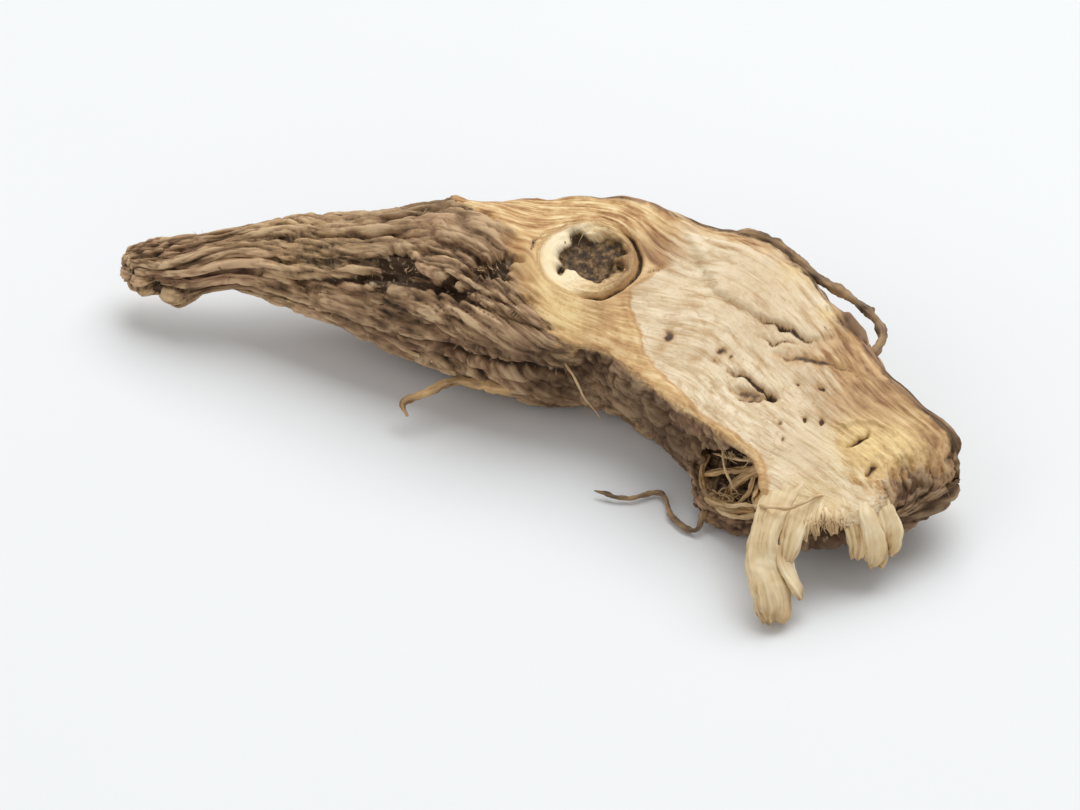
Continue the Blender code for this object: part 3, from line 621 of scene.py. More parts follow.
class Body:
    """The smooth body as a grid, one row for each section: points, angles round it and what lies where.

    The angle is 0 at the far rim, a quarter turn on top, a half turn at the near rim and more than
    that underneath. Inset is the distance in from the nearer rim, and less than 0 below the rims.
    """

    def __init__(self):
        rows = section_rows()
        middle, half_span = rows[:, 0:3], rows[:, 3:6]
        rise, drop, squareness = rows[:, 6:7], rows[:, 7:8], rows[:, 8:9]
        reach = np.linalg.norm(half_span, axis=1, keepdims=True)
        across = half_span / reach
        up = np.array((0.0, 0.0, 1.0)) - across * across[:, 2:3]
        up /= np.linalg.norm(up, axis=1, keepdims=True)

        share = np.linspace(0.0, 1.0, TOP_COLUMNS, endpoint=False)[None, :]
        roundness = np.clip(rise / reach, 0.0, 1.0)
        over_side = (1 - roundness) * (1 - 2 * share) + roundness * np.cos(math.pi * share)
        over = np.arccos(np.clip(over_side, -1.0, 1.0))
        under = np.array([under_angles(*values) for values in np.hstack([reach, drop, squareness])])
        under_side = np.sign(np.cos(under)) * np.abs(np.cos(under)) ** squareness
        under_lift = -drop * np.abs(np.sin(under)) ** squareness
        side = -np.hstack([over_side, under_side])
        lift = np.hstack([rise * np.sin(over), under_lift])
        points = middle[:, None] + half_span[:, None] * side[:, :, None] + up[:, None] * lift[:, :, None]

        self.angles = self.padded(np.hstack([over, under]))
        self.lift = self.padded(lift)
        self.inset = self.padded(np.hstack([reach * (1 - np.abs(over_side)), under_lift]))
        self.near = self.padded(side)
        self.on_top = self.angles < math.pi
        self.along = np.pad(row_shares(), DOME_ROWS, "edge")[:, None] * (1 - 2 * DOME_SHARE) + DOME_SHARE
        self.points, self.shares = self.domed(points)
        self.middle = self.points.mean(axis=1)
        steps = np.linalg.norm(np.diff(self.middle, axis=0, prepend=self.middle[:1]), axis=1)
        self.length = np.cumsum(steps)[:, None]
        self.normals = outward_normals(self.points)
        gaps = np.linalg.norm(np.diff(self.points, axis=1, append=self.points[:, :1]), axis=2)
        self.radius = gaps.sum(axis=1, keepdims=True) / (2 * math.pi)
        self.turn = (np.cumsum(gaps, axis=1) - gaps) / self.radius

    @staticmethod
    def padded(values):
        """The rows of values with the end rows repeated over the domes."""
        return np.pad(values, ((DOME_ROWS, DOME_ROWS), (0, 0)), "edge")

    @staticmethod
    def domed(points):
        """The rows of points with rounded ends, and each row's share of its full width."""
        turns = np.linspace(0.0, math.pi / 2, DOME_ROWS + 1, endpoint=False)[1:]
        ends = []
        for rim, inner, bulge in ((points[0], points[4], TAIL_DOME), (points[-1], points[-5], CROWN_DOME)):
            centre = rim.mean(axis=0)
            out = centre - inner.mean(axis=0)
            out /= np.linalg.norm(out)
            ends.append([centre + (rim - centre) * math.cos(a) + out * bulge * math.sin(a) for a in turns])
        shares = np.concatenate([np.cos(turns)[::-1], np.ones(len(points)), np.cos(turns)])
        return np.concatenate([ends[0][::-1], points, ends[1]]), shares[:, None]

    def flow(self):
        """Where each point is along and round the body, as millimetres on a pipe of its girth."""
        along = self.length + 0 * self.turn
        return np.stack([along, self.radius * np.cos(self.turn), self.radius * np.sin(self.turn)], axis=-1)

    def seen(self):
        """Where each point is as the camera sees it: across and up."""
        x, y, z = np.moveaxis(self.points, 2, 0)
        return np.stack([x, y * math.sin(VIEW_HEIGHT) + z * math.cos(VIEW_HEIGHT)], axis=-1)


def outward_normals(points):
    """Unit normals of the grid of points, which closes round each row."""
    along = np.gradient(points, axis=0)
    around = np.roll(points, -1, axis=1) - np.roll(points, 1, axis=1)
    normals = np.cross(along, around)
    centres = points.mean(axis=1, keepdims=True)
    if np.sum(normals * (points - centres)) < 0:
        normals = -normals
    return normals / np.maximum(np.linalg.norm(normals, axis=2, keepdims=True), 1e-9)


def from_tail(body):
    """How far each point lies on the bark's side of the border across the body, in millimetres."""
    away = np.interp(body.points[:, :, 1], FACE_EDGE_Y, FACE_EDGE_X) - body.points[:, :, 0]
    for centre, reach in BARK_PATCHES:
        away = np.maximum(away, reach - np.linalg.norm(body.points - np.array(centre), axis=-1))
    return away


def bark_share(body):
    """1 on the bark and 0 on the split face, with a soft border."""
    past_edge = np.clip(-from_tail(body) / FACE_EDGE_BLEND, 0.0, 1.0)
    on_top = np.clip(1.0 + body.lift / RIM_BLEND, 0.0, 1.0)
    return 1.0 - past_edge * on_top


def cord_heights(body):
    """Height of the long cords of bark at each point: 0 in a furrow, 1 along a cord's back."""
    angles = body.angles + CORD_WANDER * mottle(body.flow() * (0.35, 1.0, 1.0), 2.2, 3)
    along = body.along
    sway = 0.34 * np.sin(4.4 * along + 0.4) + 0.13 * np.sin(13.0 * along + 2.0 * angles)
    main = np.abs(np.sin(CORDS / 2 * (angles + sway)))
    crossing = np.abs(np.sin(CROSSING_CORDS / 2 * (angles - 1.5 * sway + 1.1 * along) + 0.6))
    return np.minimum(main**0.7, 0.25 + crossing)


def cleft_share(body, cleft):
    """How deep in a cleft of the tail each point lies, in millimetres."""
    x = body.points[:, :, 0].mean(axis=1)
    line = np.interp(x, cleft.x, cleft.angle)[:, None]
    deep = np.interp(x, cleft.x, cleft.depth, left=0.0, right=0.0)[:, None]
    waver = 0.25 * mottle(body.flow(), 1.6, 5)
    away = (body.angles - line) * body.radius + waver
    return deep * np.exp(-((away / cleft.width) ** 2))


def lump_heights(points):
    """A slow swelling and sinking of the bark, up to 1 each way."""
    x, y, z = np.moveaxis(points / LUMP_SIZE, 2, 0)
    return np.sin(1.7 * x + 0.9 * z) * np.cos(1.3 * y - 0.7 * x + 1.1 * z)


def nearness(points, centre, reach):
    """1 at the centre, falling off over reach."""
    return np.exp(-((np.linalg.norm(points - np.array(centre), axis=-1) / reach) ** 2))


def path_nearness(points, path, width):
    """1 on a path of straight lines, falling off over width, which thins out towards both ends."""
    nearest, place = np.full(points.shape[:-1], np.inf), np.zeros(points.shape[:-1])
    for number, (start, end) in enumerate(zip(np.array(path), np.array(path)[1:])):
        line = end - start
        share = np.clip((points - start) @ line / (line @ line), 0.0, 1.0)
        away = np.linalg.norm(points - start - share[..., None] * line, axis=-1)
        place = np.where(away < nearest, (number + share) / (len(path) - 1), place)
        nearest = np.minimum(nearest, away)
    wide = width * (0.3 + 0.7 * np.sqrt(np.sin(math.pi * place)))
    return np.exp(-((nearest / wide) ** 2)) * (0.5 + 0.5 * np.sin(math.pi * place))


def depth_inside(plan, outline):
    """Each point's distance to a closed outline, less than 0 outside it."""
    nearest, inside = np.full(plan.shape[:-1], np.inf), np.zeros(plan.shape[:-1], bool)
    corners = np.array(outline, float)
    for start, end in zip(corners, np.roll(corners, -1, axis=0)):
        line = end - start
        share = np.clip((plan - start) @ line / (line @ line), 0.0, 1.0)
        nearest = np.minimum(nearest, np.linalg.norm(plan - start - share[..., None] * line, axis=-1))
        level = (start[1] > plan[..., 1]) != (end[1] > plan[..., 1])
        crossing = start[0] + (plan[..., 1] - start[1]) / (line[1] or 1e-9) * line[0]
        inside ^= level & (plan[..., 0] < crossing)
    return np.where(inside, nearest, -nearest)


def soft_step(values, low, high):
    """0 up to low, 1 from high on, and smooth between."""
    share = np.clip((values - low) / (high - low), 0.0, 1.0)
    return share * share * (3 - 2 * share)


def turned(points, turn):
    """The first two of each point's coordinates, turned back by an angle."""
    x, y = points[..., 0], points[..., 1]
    return x * math.cos(turn) + y * math.sin(turn), y * math.cos(turn) - x * math.sin(turn)


def hollow_share(body, hollow):
    """How far inside a ragged hollow each point is, from 0 to 1."""
    away = body.points - np.array(hollow.centre)
    x, y = turned(away, hollow.turn)
    reach = np.linalg.norm(np.stack([x, y, away[..., 2]], axis=-1) / hollow.radii, axis=-1)
    reach += hollow.ragged * (0.7 * mottle(body.points, 0.9, 7) + 0.4 * mottle(body.points, 0.4, 8))
    return 1.0 - soft_step(reach, 0.7, 1.0)


def pocket_share(body):
    """How far inside the torn pocket each point is, from 0 to 1."""
    x, y = turned(body.seen() - np.array(POCKET_SEEN), POCKET_TURN)
    reach = np.hypot(x / POCKET_RADII[0], y / POCKET_RADII[1]) + 0.16 * mottle(body.points, 0.8, 11)
    facing = (body.normals[:, :, 1] < -0.15) & (body.inset < -0.25)
    return (1.0 - soft_step(reach, 0.75, 1.05)) * facing


def scar_places(body, offset=(0.0, 0.0)):
    """Each point's distance from the scar's axis and its direction round it, 0 to the right."""
    away = (body.points - SCAR_CENTRE) @ np.array(SCAR_TURN.to_matrix()) - (*offset, 0.0)
    return np.hypot(away[..., 0], away[..., 1]), np.arctan2(away[..., 1], away[..., 0])


def grain_round_scar(body):
    """The body's flow, parted round the scar as grain parts round a knot, and in rings on the scar itself."""
    reach, heading = scar_places(body)
    on_top = body.on_top & (body.points[:, :, 2] > SCAR_LEVEL)
    push = on_top * KNOT_REACH**2 / np.maximum(reach, KNOT_REACH) ** 2 * np.exp(-((reach / 9.0) ** 2))
    length = body.length + push * reach * np.cos(heading)
    turn = body.turn + push * reach * np.sin(heading) / body.radius
    parted = np.stack([length, body.radius * np.cos(turn), body.radius * np.sin(turn)], axis=-1)
    round_scar = np.mod(heading - 1.9, 2 * math.pi) * KNOT_REACH
    rings = np.stack([round_scar, 1.5 * reach, 0.0 * reach], axis=-1)
    return np.where((on_top & (reach < KNOT_REACH))[:, :, None], rings, parted)


def knobby(body):
    """1 where the bark dried into short knobs, under the crown's rims, and 0 where its ridges run long."""
    low = soft_step(body.angles, 2.5, 3.3) * (1.0 - soft_step(body.angles, 5.8, 6.25))
    return low * soft_step(body.points[:, :, 0], -13.0, -5.0)


def far_share(body):
    """1 on the crown's far side, round the outside of the bend, where the flow is stretched out."""
    side = soft_step(body.angles, 4.3, 5.1) * (1.0 - soft_step(body.angles, 6.18, 6.27))
    return side * soft_step(body.points[:, :, 0], -3.0, 4.0)


def face_form(body, on_face):
    """The lobe, the marks and the pores of the split face at each point.

    Gives their height, how dark they are, and how far inside the lobe and the cream wood the point is.
    """
    points, plan = body.points, body.points[:, :, :2]
    wander = np.stack([mottle(points, 0.7, 31), mottle(points, 0.7, 32)], axis=-1)
    wander += 0.6 * np.stack([mottle(points, 0.3, 33), mottle(points, 0.3, 34)], axis=-1)
    lobe = depth_inside(plan + 0.15 * wander, LOBE)
    cream = depth_inside(plan + 0.12 * wander, CREAM_WOOD)
    edge = np.exp(-(((cream + 0.35) / 0.25) ** 2))
    height = (LOBE_HEIGHT * soft_step(lobe, -0.3, 0.4) + CREAM_EDGE_HEIGHT * edge) * on_face
    dark = np.zeros(height.shape)
    plan = plan + MARK_WANDER * wander
    for mark in MARKS:
        share = path_nearness(plan, mark.path, mark.width) * on_face
        height -= mark.depth * share
        dark = np.maximum(dark, mark.dark * share)
    for pore in PORES:
        share = nearness(plan * (1.0, 0.8), (pore.x, 0.8 * pore.y), pore.radius) * body.on_top
        height -= pore.depth * share
        dark = np.maximum(dark, pore.dark * share)
    return height, dark, lobe, cream


Scar = namedtuple("Scar", "height cut dead ring sound")


def scar_form(body):
    """The side root's scar at each point: its height, the cut beside it, its dead middle, its ring, and the
    ring's painted light, lighter towards its left and darker towards its right.
    """
    points = body.points
    reach, heading = scar_places(body)
    ragged = 0.5 * mottle(points, 1.2, 13) + 0.4 * mottle(points, 0.5, 17)
    inner, _ = scar_places(body, SCAR_OFFSET)
    inner = inner + ragged * (1.0 - soft_step(reach, 2.5, 3.1))
    height = np.interp(np.where(reach > 3.0, reach, inner), SCAR_REACH, SCAR_HEIGHT)
    uneven = 0.16 * mottle(points, 1.4, 19) + 0.09 * mottle(points, 0.45, 20)
    height += uneven * np.exp(-(((reach - 2.7) / 0.9) ** 2))
    edge = reach - SCAR_GROOVE_REACH + 0.1 * mottle(points, 0.9, 23)
    groove = SCAR_GROOVE_DEPTH * np.exp(-((edge / 0.2) ** 2)) * soft_step(np.cos(heading + 0.45), 0.0, 0.6)
    notch = 0.5 * nearness(points, SCAR_NOTCH, 0.6)
    here = body.on_top * (points[:, :, 2] > SCAR_LEVEL)
    return Scar(
        height=(height - groove) * here,
        cut=1.3 * groove * here,
        dead=(1.0 - soft_step(inner + notch, 2.05, 2.4)) * here,
        ring=(1.0 - soft_step(reach, 2.9, 3.2)) * here,
        # Painted light on the raised ring: lighter towards its left as a painted highlight, darker towards
        # its right as painted shade.
        sound=0.62 - 0.5 * np.cos(heading + 0.15),
    )


def tone_shares(body):
    """How much of each tone lies at each point."""
    shares = {}
    for tone, places in TONES.items():
        near = [strength * nearness(body.points, centre, reach) for centre, reach, strength in places]
        shares[tone] = np.max(near, axis=0)
    return shares


def sculpt(body):
    """The body's finished points before its fine relief, and the attributes that its finish reads."""
    points, flow, bark = body.points, grain_round_scar(body), bark_share(body)
    on_face = 1.0 - bark
    cords = cord_heights(body)
    clefts = sum(cleft_share(body, cleft) for cleft in CLEFTS)
    thin = np.clip(body.radius / FULL_CORD_RADIUS, 0.35, 1.0)
    relief = LUMP_HEIGHT * lump_heights(points) + CORD_HEIGHT * (thin * cords - 0.5)
    height = bark * (relief - clefts) * body.shares
    height += sum(s.height * nearness(points, s.centre, s.reach) for s in SWELLINGS)
    height += (0.14 * mottle(points, 2.4, 2) + 0.06 * mottle(points, 0.9, 4)) * on_face
    rim = np.exp(-((body.inset / 0.8) ** 2)) * (points[:, :, 0] > 1.0)
    height += rim * (0.22 * mottle(points, 2.2, 21) + 0.08 * mottle(points, 0.7, 22))
    torn = np.max([nearness(points, place, 1.7) for place in TORN_EDGE], axis=0)
    height += torn * 0.14 * (1.0 - np.abs(mottle(flow * (0.1, 1.0, 1.0), 0.5, 41)) ** 0.6)

    # hollow gathers how far a point lies in a cleft, a pit, a crack or pore, the scar's groove or the torn
    # pocket; the finish paints shade there, over the cracks' and pores' own dark colour
    hollow = np.clip(clefts * 1.1, 0.0, 1.0) * bark
    for pit in HOLLOWS:
        share = hollow_share(body, pit)
        height -= pit.depth * share
        hollow = np.maximum(hollow, share)
    face_height, dark, lobe, cream = face_form(body, on_face * body.on_top)
    height += face_height
    scar, pocket = scar_form(body), pocket_share(body)
    hollow = np.max([hollow, dark, scar.cut, pocket], axis=0)
    crumbled = [strength * nearness(points, place, reach) for place, reach, strength in CRUMBLED]
    rough = np.max([pocket * 0.6, scar.dead, 0.6 * (hollow > 0.5) * bark, *crumbled], axis=0)

    points = points + body.normals * height[:, :, None]
    points += np.array(SCAR_TURN.to_matrix())[:, 2] * scar.height[:, :, None]
    points += INTO_POCKET * (POCKET_DEPTH * pocket)[:, :, None]
    points[:, :, 2] = np.maximum(points[:, :, 2], 0.0)

    x, y = points[:, :, 0], points[:, :, 1]
    far_bark = soft_step(-body.near, 0.7, 0.95) * (0.42 + 0.5 * soft_step(x, 22.0, 27.0))
    crisp = 1.0 - soft_step(x + 0.35 * y, 14.5, 17.0) * (lobe < 0.8)
    return points, flow, {
        "bark": bark,
        "from_rim": body.inset - far_bark + 2.2 * torn,
        "from_tail": from_tail(body),
        "from_cream": cream,
        "crisp": crisp * (1.0 - soft_step(y, 2.4, 3.6)),
        "knobby": knobby(body),
        "far_side": far_share(body),
        "furrow": 1.0 - cords,
        "hollow": np.clip(hollow, 0.0, 1.0),
        "rough": np.clip(rough, 0.0, 1.0),
        "dead": scar.dead,
        "ring": scar.ring,
        "sound": scar.sound,
        **tone_shares(body),
    }


def metres(points):
    """Points of the drawing in metres, in the part's own frame."""
    return (np.asarray(points, float) - MIDDLE) * MM


def new_object(name, mesh):
    """A linked object that holds mesh."""
    thing = bpy.data.objects.new(name, mesh)
    bpy.context.scene.collection.objects.link(thing)
    return thing


def lofted(name, points, flow, values):
    """A closed mesh over a grid of points that closes round each row, with a fan at each end."""
    rows, columns = points.shape[:2]
    corners = np.arange(rows * columns).reshape(rows, columns)
    following = np.roll(corners, -1, axis=1)
    quads = np.stack([corners[:-1], following[:-1], following[1:], corners[1:]], axis=-1).reshape(-1, 4)
    first, last = rows * columns, rows * columns + 1
    fans = [(first, b, a) for a, b in zip(corners[0], following[0])]
    fans += [(last, a, b) for a, b in zip(corners[-1], following[-1])]
    places = np.vstack([points.reshape(-1, 3), points[0].mean(axis=0), points[-1].mean(axis=0)])
    mesh = bpy.data.meshes.new(name)
    mesh.from_pydata(metres(places).tolist(), [], quads.tolist() + fans)
    for title, grid in {"flow": flow, **values}.items():
        kind = "FLOAT_VECTOR" if title == "flow" else "FLOAT"
        grid = np.broadcast_to(grid, points.shape[:2] + np.shape(grid)[2:])
        ends = np.stack([grid[0].mean(axis=0), grid[-1].mean(axis=0)])
        full = np.concatenate([grid.reshape((-1,) + grid.shape[2:]), ends])
        target = mesh.attributes.new(title, kind, "POINT")
        target.data.foreach_set("vector" if title == "flow" else "value", full.astype(np.float32).ravel())
    form = bmesh.new()
    form.from_mesh(mesh)
    bmesh.ops.recalc_face_normals(form, faces=form.faces[:])
    form.to_mesh(mesh)
    form.free()
    return new_object(name, mesh)


def draped(path, skin):
    """The path with each height left to the body taken from its skin, so that the strip starts inside it."""
    rows = []
    for number, (x, y, z, width, thickness) in enumerate(path):
        if z == DRAPED:
            nearest = np.argmin(np.hypot(skin[:, 0] - x, skin[:, 1] - y))
            z = skin[nearest, 2] - thickness / 2 - DRAPED_DEPTHS[number]
        rows.append((x, y, z, width, thickness))
    return rows


def strip_object(strip, skin):
    """A torn strip: a flat fibrous section carried along its path, uneven in width and ragged at its end."""
    length = sum(math.dist(a[:2], b[:2]) for a, b in zip(strip.path, strip.path[1:]))
    count, sides = 30 + round(9 * length), 64
    rows = smooth_through(draped(strip.path, skin), count)
    path, width, thickness = rows[:, :3], rows[:, 3:4], rows[:, 4:5]
    along = np.gradient(path, axis=0)
    along /= np.linalg.norm(along, axis=1, keepdims=True)
    side = np.cross(along, (0.0, 0.0, 1.0))
    side /= np.linalg.norm(side, axis=1, keepdims=True)
    face = np.cross(side, along)
    share = np.linspace(0.0, 1.0, count)[:, None]
    turn = np.linspace(0.0, 2 * math.pi, sides, endpoint=False)[None, :]
    twist = strip.twist * share
    length = np.linalg.norm(np.diff(path, axis=0), axis=1).sum()
    pipe = float(np.mean(width + thickness)) / 4
    ones = np.ones((count, sides))
    flow = np.stack([share * length * ones, pipe * np.cos(turn) * ones, pipe * np.sin(turn) * ones], axis=-1)
    seed = sum(strip.name.encode()) % 97
    ridges = 1.0 - np.abs(mottle(flow * (0.12, 1.0, 1.0), 0.32, seed)) ** 0.6
    splits = 1.0 - np.abs(mottle(flow * (0.1, 1.0, 1.0), 0.7, seed + 1)) ** 0.4
    body = 1.0 + 0.1 * mottle(flow, 0.8, seed + 2) + 0.05 * mottle(flow, 0.35, seed + 3)
    body = body - strip.ribs * (0.12 * ridges + 0.22 * np.clip(splits - 0.35, 0.0, 1.0))
    x = width / 2 * body * np.sign(np.cos(turn)) * np.abs(np.cos(turn)) ** 0.8
    y = thickness / 2 * body * np.sign(np.sin(turn)) * np.abs(np.sin(turn)) ** 0.8
    across = x * np.cos(twist) - y * np.sin(twist)
    over = x * np.sin(twist) + y * np.cos(twist)
    points = path[:, None] + side[:, None] * across[..., None] + face[:, None] * over[..., None]
    ragged = mottle(flow * (0.0, 1.0, 1.0), 0.25, seed + 4) * np.clip((share - 0.85) / 0.15, 0.0, 1.0)
    points += along[:, None] * (0.35 * ragged)[..., None]
    points[:, :, 2] = np.maximum(points[:, :, 2], 0.02)
    groove = strip.ribs * np.clip(ridges * 0.4 + (splits - 0.3) * 0.8, 0.0, 1.0)
    values = {"tip": share * ones, "groove": groove, "bark": ones, "rough": 0.6 * ones}
    values["knobby"] = ones * (strip in LIP_STRIPS)
    return lofted(strip.name, points, flow, values)


def fray_lines(fray, chance):
    """Short bent lines from points on a torn edge, each a row of points."""
    start, end, way = (np.array(part, float) for part in (fray.start, fray.end, fray.way))
    lines = []
    for _ in range(fray.count):
        root = start + (end - start) * chance.uniform() + chance.normal(size=3) * 0.08
        tip = way + fray.stray * chance.normal(size=3)
        tip *= fray.length * chance.uniform(0.35, 1.0) / np.linalg.norm(tip)
        bend = 0.18 * np.linalg.norm(tip) * chance.normal(size=3)
        lines.append([root - 0.25 * tip, root, root + 0.5 * tip + bend, root + tip])
    return lines


def scar_lines(chance):
    """Frayed wood round the scar's dead middle: short lines from the ring inwards and down."""
    turn = np.array(SCAR_TURN.to_matrix())
    lines = []
    for _ in range(SCAR_FIBRES):
        angle, reach = 4.2 + 1.2 * chance.normal(), chance.uniform(2.0, 2.5)
        heading = np.array((math.cos(angle), math.sin(angle), 0.0))
        skew = np.array((-math.sin(angle), math.cos(angle), 0.0)) * chance.normal() * 0.5
        root = heading * reach + (0.0, 0.0, 0.05)
        tip = (1.6 * skew - heading) * chance.uniform(0.1, 0.6) ** 1.5 + (0.0, 0.0, -chance.uniform(0.2, 0.5))
        places = [root - 0.3 * tip, root, root + 0.5 * tip + (0.0, 0.0, 0.08), root + tip]
        lines.append([SCAR_CENTRE + turn @ place for place in places])
    return lines


def fibre_bundle(name, lines, radius, chance):
    """Many short lines as the edges of one mesh, each point with its radius."""
    places, edges, radii = [], [], []
    for line in lines:
        first, thick = len(places), radius * chance.uniform(0.6, 1.3)
        rows = smooth_through(line, 7)
        places += metres(rows).tolist()
        edges += [(first + i, first + i + 1) for i in range(len(rows) - 1)]
        radii += (thick * np.linspace(1.0, 0.45, len(rows)) * MM).tolist()
    mesh = bpy.data.meshes.new(name)
    mesh.from_pydata(places, edges, [])
    mesh.attributes.new("thickness", "FLOAT", "POINT").data.foreach_set("value", np.array(radii, np.float32))
    return new_object(name, mesh)


def new_tree(title, sizes, counts=()):
    """A geometry tree with inputs for its sizes, counts and finish: the tree, its plan and the inputs."""
    tree = bpy.data.node_groups.new(title, "GeometryNodeTree")
    face = tree.interface
    face.new_socket("Geometry", in_out="OUTPUT", socket_type="NodeSocketGeometry")
    face.new_socket("Geometry", in_out="INPUT", socket_type="NodeSocketGeometry")
    for name in sizes:
        face.new_socket(name, in_out="INPUT", socket_type="NodeSocketFloat")
    for name in counts:
        face.new_socket(name, in_out="INPUT", socket_type="NodeSocketInt")
    face.new_socket("Finish", in_out="INPUT", socket_type="NodeSocketMaterial")
    plan = Plan(tree)
    return tree, plan, {socket.name: Term(plan, socket) for socket in plan.add("NodeGroupInput").outputs}


def bark_relief_tree():
    """The fine relief of bark and torn wood, laid over the body along its own flow."""
    heights = ("Ridge height", "Wrinkle height", "Crumb height", "Grain height")
    tree, plan, given = new_tree("bark relief", (*heights, "Seed"))
    flow = plan.vector("ADD", plan.read("flow", "FLOAT_VECTOR"), given["Seed"])
    bark, rough, knobby, far = (plan.read(name) for name in ("bark", "rough", "knobby", "far_side"))
    warp = plan.vector("SUBTRACT", plan.noise(flow, 0.22, 2.0, output=1), (0.5, 0.5, 0.5))
    warped = plan.vector("ADD", flow, plan.vector("MULTIPLY", warp, (5.0, 1.5, 1.5)))

    def creased(place, size, detail):
        creases = plan.noise(place, 1.0, detail, stretch=size) * 2 - 1
        return (abs(creases) * 4.2).held() ** 0.7

    ridges = creased(warped, (0.06, 1.0, 1.0), 1.0) * (1 - knobby)
    ridges = ridges + creased(warped, (0.4, 0.8, 0.8), 1.0) * knobby
    wrinkles = creased(warped, (0.12, 2.6, 2.6), 1.5) * (1 - knobby * 0.7)
    wrinkles = wrinkles + creased(warped, (1.1, 1.8, 1.8), 1.0) * knobby * 0.7
    place = plan.scaled(plan.out("GeometryNodeInputPosition"), 1 / MM)
    ridges = ridges * (1 - far) + creased(place, (0.3, 0.3, 0.8), 1.5) * far
    wrinkles = wrinkles * (1 - far) + creased(place, (0.8, 0.8, 2.0), 1.5) * far
    crumbs = plan.noise(flow, 1.5, 3.0, 0.6) * 2 - 1
    grain = plan.noise(flow, 1.0, 2.0, stretch=(0.8, 3.2, 3.2)) * 2 - 1
    height = bark * (given["Ridge height"] * (ridges - 0.6) + given["Wrinkle height"] * (wrinkles - 0.6))
    height = height + rough * crumbs * given["Crumb height"] + grain * given["Grain height"]
    normal = plan.out("GeometryNodeInputNormal")
    moved = plan.above_floor(plan.moved(given["Geometry"], plan.scaled(normal, height * MM)))
    stored = plan.stored(moved, "relief", ridges * 0.55 + wrinkles * 0.45)
    plan.end_with(plan.smooth(stored), given["Finish"])
    return tree


def rootlet_tree():
    """Round rootlets of uneven thickness along the edges of a mesh."""
    sizes = ("Step", "Waver", "Unevenness", "Taper", "Wrinkle height", "Seed")
    tree, plan, given = new_tree("rootlets along lines", sizes, ("Sides",))
    line = plan.out("GeometryNodeMeshToCurve", None, {0: given["Geometry"]})
    line = plan.out("GeometryNodeResampleCurve", {"mode": "LENGTH"}, {"Curve": line, "Length": given["Step"]})
    length = plan.out("GeometryNodeSplineLength")
    line = plan.stored(line, "along", plan.out("GeometryNodeSplineParameter", output="Length") / MM)
    place = plan.vector("ADD", plan.scaled(plan.out("GeometryNodeInputPosition"), 1 / MM), given["Seed"])
    jitter = plan.vector("SUBTRACT", plan.noise(place, 0.7, 2.0, output=1), (0.5, 0.5, 0.5))
    line = plan.moved(line, plan.scaled(jitter, given["Waver"] * 2))
    swell = 1 + given["Unevenness"] * (plan.noise(place, 1.1, 2.0) * 2 - 1)
    factor = plan.out("GeometryNodeSplineParameter", output="Factor")
    point = ((1 - factor) * length / given["Taper"] + 0.15).held()
    line = plan.stored(line, "thickness", plan.read("thickness") * swell * point ** 0.6)
    inputs = {"Resolution": given["Sides"], "Radius": 1.0}
    ring = plan.out("GeometryNodeCurvePrimitiveCircle", {"mode": "RADIUS"}, inputs)
    ring = plan.stored(ring, "around", plan.out("GeometryNodeSplineParameter", output="Factor"))
    inputs = {"Curve": line, "Profile Curve": ring, "Scale": plan.read("thickness"), "Fill Caps": True}
    tube = plan.out("GeometryNodeCurveToMesh", None, inputs)
    turn = plan.read("around") * (2 * math.pi)
    wide = plan.read("thickness") / MM
    inputs = {0: plan.read("along"), 1: plan.math("COSINE", turn) * wide, 2: plan.math("SINE", turn) * wide}
    flow = plan.out("ShaderNodeCombineXYZ", None, inputs)
    tube = plan.stored(tube, "flow", flow, "FLOAT_VECTOR")
    wrinkle_place = plan.vector("MULTIPLY", plan.read("flow", "FLOAT_VECTOR"), (1.0, 3.0, 3.0))
    bumps = plan.noise(wrinkle_place, 1.6, 2.0) * 2 - 1
    normal = plan.out("GeometryNodeInputNormal")
    rise = bumps * given["Wrinkle height"] * plan.read("thickness")
    tube = plan.above_floor(plan.moved(tube, plan.scaled(normal, rise)))
    plan.end_with(plan.smooth(tube), given["Finish"])
    return tree


